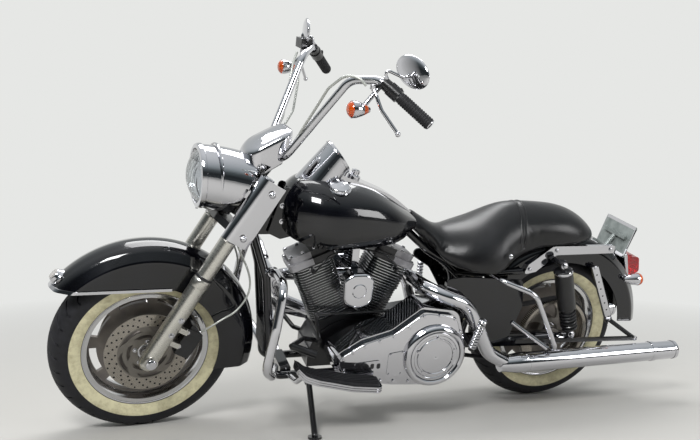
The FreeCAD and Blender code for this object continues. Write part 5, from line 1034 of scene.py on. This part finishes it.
def dress_tank(size):
    """Speedometer, ignition knob, grips of the caps and the neck's bolts."""
    bright, face, marks, glass = Form(), Form(), Form(), Form()
    centre, way = Vector((-152, 0, 1012)), Vector((0.8, 0, 0.6))
    bright.lathe([(57, 5.0), (58, 9.5), (61.5, 12), (65.5, 10.5), (67.4, 5), (67.2, 0.2)], centre, way, 96)
    face.lathe([(57.5, 5.4), (57.5, 6.6), (0, 6.6)], centre, way, 64)
    dial = on_plane(centre, way)
    for k in range(size.dial_marks):
        turn = math.radians(-135 + 270 * k / (size.dial_marks - 1))
        long = k % 2 == 0
        spoke = dial @ Matrix.Rotation(-turn, 4, "Z")
        wide, start = (1.1, 42.0) if long else (0.6, 47.0)
        marks.slab([(-wide, start), (wide, start), (wide, 53), (-wide, 53)], 6.5, 7.0, spoke)
    marks.slab([(-16, -26), (16, -26), (16, -18), (-16, -18)], 6.5, 6.9, dial)
    needle = dial @ Matrix.Rotation(math.radians(128), 4, "Z")
    marks.slab([(-1.4, -10), (1.4, -10), (0.5, 46), (-0.5, 46)], 8.2, 9.0, needle)
    face.lathe([(6, 6.6), (6, 10), (4.5, 11), (0, 11)], centre, way, 24)
    glass.lathe([(56.8, 8.2), (40, 10.6), (20, 11.8), (0, 12.2)], centre, way, 64)
    face.slab([(-15, -25), (15, -25), (15, -19), (-15, -19)], 6.9, 7.2, dial)
    foot, lean = Vector((-84, 0, 934)), Vector((0.3, 0, 1))
    bright.lathe([(24, 0), (24, 13), (21, 17), (14, 18), (14, 34), (12, 37), (0, 37)], foot, lean, 40)
    for k in range(6):
        turn = math.tau * k / 6
        spot = on_plane(foot, lean) @ Vector((13.6 * math.cos(turn), 13.6 * math.sin(turn), 0))
        bright.pipe([spot + lean.normalized() * 20, spot + lean.normalized() * 34], 2.2, 8)
    for side in SIDES:
        axis = Vector((0, side * math.sin(math.radians(24)), math.cos(math.radians(24))))
        cap = on_plane((-166, side * 100, 925), axis, ALONG_X)
        bright.lathe([(38.4, 1), (41.5, 2), (42, 4.5), (40, 6.5), (37.5, 7)], cap.translation, axis, 48)
        for k in range(24):
            turn = math.tau * k / 24
            spot = cap @ Vector((36.3 * math.cos(turn), 36.3 * math.sin(turn), 0))
            bright.pipe([spot + axis * 6, spot + axis * 14], 1.7, 8)
        for x, z in ((-350, 846), (-348, 788), (-322, 886)):
            bright.bolt((x, side * 46.8, z), (0, side, 0), 6.5, 4, 6, dome=2.5, washer=1.5)
    for side, x in ((LEFT, -216), (LEFT, -196), (RIGHT, -216), (RIGHT, -196)):
        bright.lathe([(6, -2), (6, 4), (4.5, 5.5), (0, 5.5)], Vector((x + 20, side * 60, 985)),
                     Vector((0.2, side, 0.35)), 20)
    bright.made("tank_brightwork", BIKE, "chassis", "chrome", "chrome")
    face.made("speedometer_face", BIKE, "chassis", "satin_black", "dial_black")
    marks.made("speedometer_marks", BIKE, "chassis", "plate_paint", "dial_white")
    glass.made("speedometer_glass", BIKE, "chassis", "clear_lens", "clear_glass")


CRANK = Vector((-70, 0, 262))
FIN_BASE, FIN_PITCH, FIN_COUNT, FIN_STEP = 182.0, 10.5, 21, 12


def cylinder_place(side):
    return BIKE @ Matrix.Translation(CRANK) @ Matrix.Rotation(side * math.radians(22.5), 4, "Y")


def edge_band(form, half_w, half_d, corner, low, high, place):
    """Thin closed band round a rounded rectangle."""
    loops = []
    for grow, level in ((0.55, low), (0.55, high), (-1.2, high), (-1.2, low)):
        corners = [(-half_w - grow, -half_d - grow), (half_w + grow, -half_d - grow),
                   (half_w + grow, half_d + grow), (-half_w - grow, half_d + grow)]
        loops.append([place @ Vector((a, b, level)) for a, b in corner_arcs(corners, corner, 6)])
    form.rings(loops)


def corner_arcs(corners, radius, steps):
    """Outline whose corners are true quarter circles."""
    made = []
    count = len(corners)
    for i, corner in enumerate(corners):
        spot = Vector(corner)
        back = (Vector(corners[i - 1]) - spot).normalized()
        ahead = (Vector(corners[(i + 1) % count]) - spot).normalized()
        centre = spot + (back + ahead) * radius
        for k in range(steps + 1):
            turn = math.pi / 2 * k / steps
            made.append(tuple(centre - ahead * radius * math.cos(turn) - back * radius * math.sin(turn)))
    return made


def dress_engine(size):
    """Cut fin edges, head bolts, plugs with their leads, and the bolts and beads of the covers."""
    fins, bolts, black = Form(), Form(), Form()
    for side in SIDES:
        lift = Matrix.Translation(CRANK) @ Matrix.Rotation(side * math.radians(22.5), 4, "Y")
        for i in range(FIN_COUNT):
            low = FIN_BASE + i * FIN_PITCH
            grow = 0 if i < FIN_STEP else 3
            edge_band(fins, 74 + grow, 68 + grow, 34, low + 2 - size.fin_edge / 2, low + 2 + size.fin_edge / 2, lift)
        up = lift.to_3x3() @ ALONG_Z
        for a in (-72, -24, 24, 72):
            for b in (-52, 52):
                bolts.bolt(lift @ Vector((a * 0.95, b * 0.9, 448)), up, 7, 5, 6, washer=1.3)
        for a in (-82, 82):
            for b in (-46, 46):
                bolts.bolt(lift @ Vector((a, b, 423)), up, 4.6, 5, 6)
        plug = lift @ Vector((side * 12, -64, 384))
        away = Vector((0, -1, 0))
        bolts.lathe([(0, 0), (10, 0), (10, 6), (7, 7), (7, 12), (0, 12)], plug, away, 24)
        black.lathe([(0, 9), (8.5, 9), (9, 30), (6, 36), (0, 36)], plug, away, 24)
        lead = [plug + away * 30, plug + Vector((side * -2, -48, 10)), plug + Vector((-side * 26, -50, 44)),
                plug + Vector((-side * 56, -34, 70)), Vector((-70, -52, 690))]
        black.pipe(smooth_path(lead, 8), 3.6, 12)
    fins.made("fin_edges", BIKE, "chassis", "satin_alloy", "fastener")
    face = -246.0
    for x, z in ((-140, 338), (-108, 366), (-64, 386), (-8, 402), (44, 417), (98, 452), (152, 492), (214, 492),
                 (276, 476), (306, 424), (318, 372), (120, 234), (60, 240), (10, 245), (-40, 252), (-88, 266),
                 (-134, 296)):
        bolts.bolt((x, face - 3, z), (0, -1, 0), 5.6, 5, 12)
    at = Vector((209, -260, 338))
    bolts.lathe([(97, 1), (98, 8.5), (101, 12), (107, 13), (114, 10), (119, 4), (120.8, -4), (120.8, -13)], at,
                -ALONG_Y, 96)
    bolts.lathe([(66, 8), (68, 11), (72, 11), (74, 8)], at, -ALONG_Y, 72)
    inset = corner_points([(-158, 340), (-68, 394), (45, 426), (152, 504), (282, 484), (330, 350), (244, 217),
                           (60, 231), (-89, 258), (-143, 288)], 30)
    lie = Matrix.Rotation(math.pi / 2, 4, "X")
    bolts.slab(inset, 245, 249, lie, 2.6, 3)
    for x, z in ((38, 270), (38, 348), (84, 356), (84, 270)):
        bolts.bolt((x, face - 6, z), (0, -1, 0), 4.2, 4, 6)
    for k in range(4):
        x = -84 + k * 24
        slot = corner_points([(x, 296), (x + 14, 297), (x + 14, 318), (x, 317)], 7)
        black.slab(slot, 251.4, 252.3, lie)
    shield = corner_points([(-140, 612), (-112, 636), (-54, 636), (-26, 612), (-30, 520), (-83, 500), (-136, 520)], 24)
    bolts.slab(shield, 167, 186, lie, 12, 6)
    bolts.lathe([(26, 16), (27, 20), (24, 22.5), (0, 23.5)], Vector((-83, -166, 572)), -ALONG_Y, 48)
    right = Vector((-66, 68 + 48 + 60, 560))
    bolts.lathe([(60, -3), (62, 1), (54, 3.4), (50, 1.2), (0, 1.6)], right, ALONG_Y, 64)
    bolts.bolt(right + Vector((0, 1.4, 0)), ALONG_Y, 7, 5, 6, dome=2)
    for turn, a, b in ring_points(6, 46, 30):
        bolts.bolt((-90 + a, 121 + 8, 292 + b), (0, 1, 0), 5, 4, 6)
    bolts.made("engine_brightwork", BIKE, "chassis", "chrome", "chrome")
    black.made("plug_leads_and_vents", BIKE, "chassis", "satin_black", "satin_black")


def corner_points(corners, radius):
    return rounded(corners, radius, 6)


# Running gear and tail

def dress_running_gear(size):
    """Muffler rings and outlets, peg ribs, guard clamps, shock springs, and a chrome strap at the rear with its bolts
    and a row of small black discs.
    """
    bright, dark = Form(), Form()
    for side in SIDES:
        start, way = Vector((510, side * 215, 260)), Vector((1, 0, 0.018)).normalized()
        bright.lathe([(38.2, 690), (40.6, 692), (40.6, 708), (38.2, 710)], start, way, 64)
        bright.lathe([(27, 806), (33.5, 814.5), (37.6, 813.5), (38.6, 806), (38.2, 800)], start, way, 64)
        bright.lathe([(39.0, 108), (40.4, 110), (40.4, 118), (39.0, 120)], start, way, 64)
        dark.lathe([(27.4, 812.6), (26, 780), (0, 778)], start, way, 48)
        peg = Vector((352, side * 262, 356))
        out = Vector((12, side * 34, 130)).normalized()
        profile = [(11, 8)]
        for k in range(9):
            profile += [(12.4, 10 + k * 13), (15.0, 13 + k * 13), (15.0, 18 + k * 13), (12.4, 21 + k * 13)]
        bright.lathe(profile + [(11, 128)], peg, out, 28)
        bright.lathe([(0, 141), (11, 140), (15.4, 136), (15.4, 130), (12, 128)], peg, out, 28)
        top, bottom = Vector((748, side * 165, 646)), Vector((838, side * 165, 352))
        along = bottom - top
        coil = []
        place = on_plane(top, along, ALONG_Y)
        for k in range(121):
            turn = math.tau * 6 * k / 120
            coil.append(place @ Vector((30 * math.cos(turn), 30 * math.sin(turn), 200 + 82 * k / 120)))
        dark.pipe(coil, 4.2, 8)
        bright.lathe([(36.2, 24), (38, 27), (38, 34), (36.2, 37)], top, along, 48)
        bright.bolt(top + Vector((0, side * 14, 0)), (0, side, 0), 10, 8, 6, dome=4, washer=1.4)
        bright.bolt(bottom + Vector((0, side * 14, 0)), (0, side, 0), 10, 8, 6, dome=4, washer=1.4)
        for x, z in ((-378, 600),):
            bright.lathe([(17.2, -16), (20, -14), (20, 14), (17.2, 16)], Vector((x, side * 84, z + 12)),
                         Vector((0, side, 0.38)), 32)
            bright.bolt((x - 22, side * 84, z + 14), (-1, 0, 0), 6, 5, 6)
        lie = Matrix.Rotation(math.pi / 2, 4, "X")
        strap = [(913, 616), (943, 619), (1065, 374), (1036, 371)]
        bright.slab(strap, *sorted((-side * 125.6, -side * 128.4)), lie, 1.0, 2)
        for k in range(7):
            dark.lathe([(0, 0), (3.4, 0), (3.4, 0.8), (0, 0.8)], Vector((943 + k * 16, side * 128.2, 583 - k * 31)),
                       (0, side, 0), 16)
        for x, z in ((642, 676), (990, 688)):
            bright.bolt((x if x > 700 else 634, side * 119.2, z if x > 700 else 612), (0, side, 0), 7, 4, 6, dome=2.5,
                        washer=1.3)
        bright.bolt((742, side * 119.2, 688), (0, side, 0), 7, 4, 6, dome=2.5, washer=1.3)
        for x, z in ((930, 612), (1050, 380)):
            bright.bolt((x, side * 126.2, z), (0, side, 0), 7, 4, 6, washer=1.4)
        bright.lathe([(0, 0), (9.5, 0), (9.5, 3), (6, 5), (0, 5)], Vector((1140, side * 188.5, 322)), Vector((0, side, 0)), 28)
    bright.made("running_gear_brightwork", BIKE, "chassis", "chrome", "chrome")
    dark.made("springs_and_outlets", BIKE, "chassis", "satin_black", "satin_black")


def dress_tail(size):
    """Chrome housing round the tail lamp, amber lenses, and the plate's rim and bolts."""
    bright, amber = Form(), Form()
    lie = Matrix.Rotation(math.pi / 2, 4, "X")
    shell = corner_points([(1108, 643), (1124, 643), (1153, 541), (1139, 533)], 5)
    bright.slab(shell, -63.0, 63.0, lie, 2.0, 3)
    for side in SIDES:
        amber.lathe([(0, -0.8), (9, 0), (18, 3.0), (23.4, 8.4), (25.8, 16), (25.8, 20), (0, 20)],
                    Vector((1168, side * 120, 556)), -ALONG_X, 40)
    amber.made("rear_signal_lenses", BIKE, "chassis", "amber_lens", "amber_lens")
    plate = Matrix.Translation((1096, 0, 706)) @ Matrix.Rotation(math.radians(16), 4, "Y")
    loops = []
    for grow, level in ((0.8, -2.6), (0.8, 3.6), (-4.6, 3.6), (-4.6, 2.0), (-2.6, 2.0), (-2.6, -2.6)):
        corners = [(-96 - grow, -66 - grow), (96 + grow, -66 - grow), (96 + grow, 66 + grow), (-96 - grow, 66 + grow)]
        loops.append([plate @ Vector((level, a, b)) for a, b in corner_arcs(corners, 9, 5)])
    bright.rings(loops)
    for side in SIDES:
        for z in (-52, 52):
            bright.bolt(plate @ Vector((2.0, side * 62, z)), plate.to_3x3() @ ALONG_X, 5.2, 3, 6, dome=1.5, washer=1.4)
    bright.made("tail_brightwork", BIKE, "chassis", "chrome", "chrome")


# Seat

SEAM_X = 600.0


def soft_seat(size):
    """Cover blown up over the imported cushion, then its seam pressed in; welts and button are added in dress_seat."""
    source = frame["nodes"]["seat"]
    data = source.data.copy()
    data.transform(source.matrix_world)
    seat = bpy.data.objects.new("soft_seat", data)
    bpy.context.scene.collection.objects.link(seat)
    mesh = bmesh.new()
    mesh.from_mesh(data)
    bmesh.ops.remove_doubles(mesh, verts=mesh.verts, dist=0.0004)
    mesh.to_mesh(data)
    mesh.free()
    if data.has_custom_normals:
        with bpy.context.temp_override(object=seat, active_object=seat, selected_objects=[seat]):
            bpy.ops.mesh.customdata_custom_splitnormals_clear()
    fine = size.seat_voxel / 1000
    apply_modifier(seat, "REMESH", mode="VOXEL", voxel_size=fine, use_smooth_shade=True)
    rest = [vert.co.copy() for vert in seat.data.vertices]
    blow_up(seat, rest, size.seat_pressure, size.seat_swell / 1000)
    apply_modifier(seat, "SMOOTH", factor=0.5, iterations=4)
    apply_modifier(seat, "SUBSURF", levels=1, render_levels=1)
    press_seams(seat)
    seat.data.polygons.foreach_set("use_smooth", [True] * len(seat.data.polygons))
    seat.data.materials.clear()
    seat.data.materials.append(material("seat_leather"))
    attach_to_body(seat, "chassis")
    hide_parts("seat")
    return seat


def apply_modifier(obj, kind, **settings):
    made = obj.modifiers.new(kind.lower(), kind)
    for key, value in settings.items():
        setattr(made, key, value)
    bake(obj)


def bake(obj):
    """Replace the object's mesh by what its modifiers make of it."""
    graph = bpy.context.evaluated_depsgraph_get()
    data = bpy.data.meshes.new_from_object(obj.evaluated_get(graph))
    old = obj.data
    obj.modifiers.clear()
    obj.data = data
    bpy.data.meshes.remove(old)


def blow_up(obj, rest, pressure, limit):
    """Inflate by cloth pressure without gravity; no point goes further than the limit."""
    scene = bpy.context.scene
    cloth = obj.modifiers.new("cloth", "CLOTH")
    cloth.settings.use_pressure = True
    cloth.settings.uniform_pressure_force = pressure
    cloth.settings.effector_weights.gravity = 0
    cloth.settings.quality = 4
    for frame_number in range(1, 16):
        scene.frame_set(frame_number)
    bake(obj)
    scene.frame_set(1)
    for vert, start in zip(obj.data.vertices, rest):
        moved = vert.co - start
        if moved.length > limit:
            vert.co = start + moved.normalized() * limit


def press_seams(obj):
    """Draw the cover in along the sewn lines across the pillion pad and round its edge."""
    inverse = BIKE.inverted()
    normals = [vert.normal.copy() for vert in obj.data.vertices]
    for vert, normal in zip(obj.data.vertices, normals):
        spot = inverse @ vert.co
        sink = 0.0
        near = abs(spot.x - (SEAM_X - 0.10 * abs(spot.y)))
        if spot.z > 700 and near < 9:
            sink = 0.0030 * (1 - near / 9) ** 0.7
        vert.co -= normal * sink


def over_seat(tree, across, back):
    """Point of the cover above the line across the bike, seen from the seat's middle; None off the cover."""
    start = Vector((back, 0, 690))
    way = Vector((0, math.sin(across), math.cos(across)))
    inverse = BIKE.inverted()
    origin, heading = BIKE @ start, (BIKE.to_3x3() @ way).normalized()
    hit = tree.ray_cast(origin + heading * 0.4, -heading)
    return inverse @ hit[0] if hit[0] else None


def dress_welts(seat):
    """Two piped seams across the front of the pillion pad, laid on the cover."""
    mesh = bmesh.new()
    mesh.from_mesh(seat.data)
    tree = BVHTree.FromBMesh(mesh)
    mesh.free()
    welts = Form()
    for shift in (-10, 14):
        line = []
        for k in range(41):
            turn = math.radians(-76 + 152 * k / 40)
            spot = over_seat(tree, turn, SEAM_X + shift - 26 * abs(math.sin(turn)) ** 2)
            if spot is not None:
                line.append(spot)
        welts.pipe(line, 2.4, 10)
    welts.made("seat_welts", BIKE, "chassis", "seat_leather", "seat_leather")


def dress_seat(size):
    dress_welts(soft_seat(size))
    bright = Form()
    bright.lathe([(0, 7), (7, 6), (10, 2), (10, -2)], Vector((505, -181, 690)), Vector((0.15, -1, 0.28)), 28)
    bright.made("seat_button", BIKE, "chassis", "chrome", "chrome")


# Add-on: sizes, one operator for each group, and a panel

class CruiserSizes(bpy.types.PropertyGroup):
    tread_depth: FloatProperty(name="Tread depth", description="Depth of the tyre grooves in millimetres",
                               default=6.0, min=1.0, max=9.0)
    tread_pitches: IntProperty(name="Tread pitches", description="Groove pairs round a tyre", default=34,
                               min=12, max=60)
    grip_ribs: IntProperty(name="Grip ribs", description="Raised rings on each grip", default=14, min=4, max=30)
    dial_marks: IntProperty(name="Dial marks", description="Marks on the speedometer's scale", default=25,
                            min=9, max=61)
    fin_edge: FloatProperty(name="Fin edge", description="Bright band on each fin in millimetres", default=2.6,
                            min=0.5, max=4.0)
    seat_voxel: FloatProperty(name="Seat voxel", description="Remesh size of the seat cover in millimetres",
                              default=6.0, min=4.0, max=12.0)
    seat_pressure: FloatProperty(name="Seat pressure", description="Cloth pressure in the seat", default=4.0,
                                 min=0.5, max=10.0)
    seat_swell: FloatProperty(name="Seat swell", description="Furthest the cover moves, in millimetres", default=8.0,
                              min=0.0, max=30.0)


# Stage

CAMERA_AT = Vector((-1.1023, -2.729, 0.832))
CAMERA_AZIMUTH, CAMERA_ELEVATION, CAMERA_ROLL = math.radians(-18.5), math.radians(1.68), math.radians(0.47)
BEYOND = (-math.sin(CAMERA_AZIMUTH), math.cos(CAMERA_AZIMUTH), 0.0)
BACKDROP = "#e6e7e5"


def make_camera():
    """Camera at the photograph's viewing angle."""
    azimuth, elevation, roll = CAMERA_AZIMUTH, CAMERA_ELEVATION, CAMERA_ROLL
    back = Vector((math.sin(azimuth) * math.cos(elevation), -math.cos(azimuth) * math.cos(elevation),
                   math.sin(elevation)))
    level = Vector((math.cos(azimuth), math.sin(azimuth), 0))
    rise = back.cross(level)
    right = level * math.cos(roll) + rise * math.sin(roll)
    up = rise * math.cos(roll) - level * math.sin(roll)
    data = bpy.data.cameras.new("photo_camera")
    data.lens, data.sensor_width, data.sensor_fit = 40.78, 36.0, "HORIZONTAL"
    data.clip_start, data.clip_end = 0.05, 60
    camera = bpy.data.objects.new("photo_camera", data)
    camera.matrix_world = columns(right, up, back, CAMERA_AT)
    bpy.context.scene.collection.objects.link(camera)
    bpy.context.scene.camera = camera


def area_light(name, at, target, size, power, colour="#ffffff"):
    data = bpy.data.lights.new(name, "AREA")
    data.shape, data.size, data.size_y = "RECTANGLE", size[0], size[1]
    data.energy, data.color = power, linear(colour)[:3]
    light = bpy.data.objects.new(name, data)
    light.matrix_world = Matrix.Translation(at) @ across(Vector(at) - Vector(target))
    bpy.context.scene.collection.objects.link(light)


def make_world():
    """Studio room as light: pale backdrop beyond the bike, dim walls on the camera's side, bright ceiling."""
    world = bpy.data.worlds.new("studio")
    world.use_nodes = True
    tree = world.node_tree
    tree.nodes.clear()
    way = add(tree, "ShaderNodeTexCoord").outputs["Generated"]
    height = add(tree, "ShaderNodeSeparateXYZ", {"Vector": way}).outputs["Z"]
    room = add(tree, "ShaderNodeValToRGB", {"Fac": spread(tree, height, 0.0, 1.0, 0.0, 1.0)})
    ramp = room.color_ramp
    ramp.elements[0].position, ramp.elements[0].color = 0.0, linear("#34383a")
    ramp.elements[1].position, ramp.elements[1].color = 1.0, linear("#eef1f3")
    for place, colour in ((0.14, "#2b2f31"), (0.34, "#565d5f"), (0.55, "#a3abae")):
        ramp.elements.new(place).color = linear(colour)
    beyond = add(tree, "ShaderNodeVectorMath", {0: way, 1: BEYOND}, operation="DOT_PRODUCT").outputs["Value"]
    share = spread(tree, beyond, -0.15, 0.45, 0.0, 1.0)
    low = spread(tree, height, 0.35, 0.8, 1.0, 0.0)
    rays = add(tree, "ShaderNodeLightPath")
    direct = calculate(tree, "MAXIMUM", rays.outputs["Is Camera Ray"], rays.outputs["Is Transmission Ray"])
    pale = calculate(tree, "MAXIMUM", direct, calculate(tree, "MULTIPLY", share, low))
    seen = mix(tree, pale, room.outputs["Color"], linear(BACKDROP))
    light = add(tree, "ShaderNodeBackground", {"Color": seen, "Strength": 1.0})
    add(tree, "ShaderNodeOutputWorld", {"Surface": light.outputs[0]})
    bpy.context.scene.world = world


def make_floor():
    mesh = bmesh.new()
    bmesh.ops.create_grid(mesh, x_segments=1, y_segments=1, size=14.0)
    bmesh.ops.translate(mesh, vec=(0, 4.0, 0), verts=mesh.verts)
    data = bpy.data.meshes.new("studio_floor")
    mesh.to_mesh(data)
    mesh.free()
    data.materials.append(material("floor"))
    floor = bpy.data.objects.new("studio_floor", data)
    bpy.context.scene.collection.objects.link(floor)


def make_stage():
    bpy.context.scene.view_settings.view_transform = "Standard"
    make_camera()
    make_world()
    make_floor()
    area_light("key_light", (-2.2, -3.2, 3.6), (0, 0, 0.5), (1.6, 1.2), 190)
    area_light("fill_light", (3.2, -3.0, 1.6), (0.2, 0, 0.5), (1.2, 1.6), 45)
    area_light("top_light", (0.2, 1.4, 4.0), (0, 0, 0.4), (3.4, 1.6), 110)


class CRUISER_OT_stage(bpy.types.Operator):
    """Add camera, lights, world and floor"""
    bl_idname = "cruiser.stage"
    bl_label = "Stage"

    def execute(self, context):
        make_stage()
        return {"FINISHED"}


class CRUISER_OT_finishes(bpy.types.Operator):
    """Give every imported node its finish"""
    bl_idname = "cruiser.finishes"
    bl_label = "Finishes"

    def execute(self, context):
        finish_nodes()
        return {"FINISHED"}


class CRUISER_OT_tyres(bpy.types.Operator):
    """Cut the tread of both tyres"""
    bl_idname = "cruiser.tyres"
    bl_label = "Tyres"

    def execute(self, context):
        dress_tyres(context.scene.cruiser_sizes)
        return {"FINISHED"}


class CRUISER_OT_wheels(bpy.types.Operator):
    """Add disc bolts, black discs of painted shade for the drilled holes, and rim beads to both wheels"""
    bl_idname = "cruiser.wheels"
    bl_label = "Wheels"

    def execute(self, context):
        dress_wheels(context.scene.cruiser_sizes)
        return {"FINISHED"}


class CRUISER_OT_fork(bpy.types.Operator):
    """Add the fork's seals and bolts and the front fender's lamp lens"""
    bl_idname = "cruiser.fork"
    bl_label = "Fork"

    def execute(self, context):
        dress_fork(context.scene.cruiser_sizes)
        dress_fork_trim(context.scene.cruiser_sizes)
        return {"FINISHED"}


class CRUISER_OT_lamps(bpy.types.Operator):
    """Add the headlamp's rim and bulb and the shells of the front signals"""
    bl_idname = "cruiser.lamps"
    bl_label = "Front lamps"

    def execute(self, context):
        dress_headlamp(context.scene.cruiser_sizes)
        dress_front_signals(context.scene.cruiser_sizes)
        return {"FINISHED"}


class CRUISER_OT_controls(bpy.types.Operator):
    """Add grip ribs, switches, pivots and mirror glasses"""
    bl_idname = "cruiser.controls"
    bl_label = "Controls"

    def execute(self, context):
        dress_controls(context.scene.cruiser_sizes)
        return {"FINISHED"}


class CRUISER_OT_tank(bpy.types.Operator):
    """Add speedometer, knob, cap grips and neck bolts"""
    bl_idname = "cruiser.tank"
    bl_label = "Tank"

    def execute(self, context):
        dress_tank(context.scene.cruiser_sizes)
        return {"FINISHED"}


class CRUISER_OT_engine(bpy.types.Operator):
    """Add fin edges, bolts, plug leads and cover beads"""
    bl_idname = "cruiser.engine"
    bl_label = "Engine"

    def execute(self, context):
        dress_engine(context.scene.cruiser_sizes)
        return {"FINISHED"}


class CRUISER_OT_running_gear(bpy.types.Operator):
    """Add muffler rings, peg ribs, springs and trim strips"""
    bl_idname = "cruiser.running_gear"
    bl_label = "Running gear"

    def execute(self, context):
        dress_running_gear(context.scene.cruiser_sizes)
        return {"FINISHED"}


class CRUISER_OT_tail(bpy.types.Operator):
    """Add the tail lamp's housing, signal lenses and the plate's rim"""
    bl_idname = "cruiser.tail"
    bl_label = "Tail"

    def execute(self, context):
        dress_tail(context.scene.cruiser_sizes)
        return {"FINISHED"}


class CRUISER_OT_seat(bpy.types.Operator):
    """Blow up the seat cover and sew it"""
    bl_idname = "cruiser.seat"
    bl_label = "Seat"

    def execute(self, context):
        dress_seat(context.scene.cruiser_sizes)
        return {"FINISHED"}


class CRUISER_PT_panel(bpy.types.Panel):
    bl_label = "Touring cruiser"
    bl_idname = "CRUISER_PT_panel"
    bl_space_type = "VIEW_3D"
    bl_region_type = "UI"
    bl_category = "Cruiser"

    def draw(self, context):
        sizes = context.scene.cruiser_sizes
        for name in CruiserSizes.__annotations__:
            self.layout.prop(sizes, name)
        for step in STEPS:
            self.layout.operator("cruiser." + step)


STEPS = ("stage", "finishes", "tyres", "wheels", "fork", "lamps", "controls", "tank", "engine", "running_gear",
         "tail", "seat")
CLASSES = (CruiserSizes, CRUISER_OT_stage, CRUISER_OT_finishes, CRUISER_OT_tyres, CRUISER_OT_wheels,
           CRUISER_OT_fork, CRUISER_OT_lamps, CRUISER_OT_controls, CRUISER_OT_tank, CRUISER_OT_engine,
           CRUISER_OT_running_gear, CRUISER_OT_tail, CRUISER_OT_seat, CRUISER_PT_panel)


def register():
    for kind in CLASSES:
        bpy.utils.register_class(kind)
    bpy.types.Scene.cruiser_sizes = PointerProperty(type=CruiserSizes)


def unregister():
    del bpy.types.Scene.cruiser_sizes
    for kind in reversed(CLASSES):
        bpy.utils.unregister_class(kind)


def main():
    register()
    for step in STEPS:
        getattr(bpy.ops.cruiser, step)()


if __name__ == "__main__":
    main()
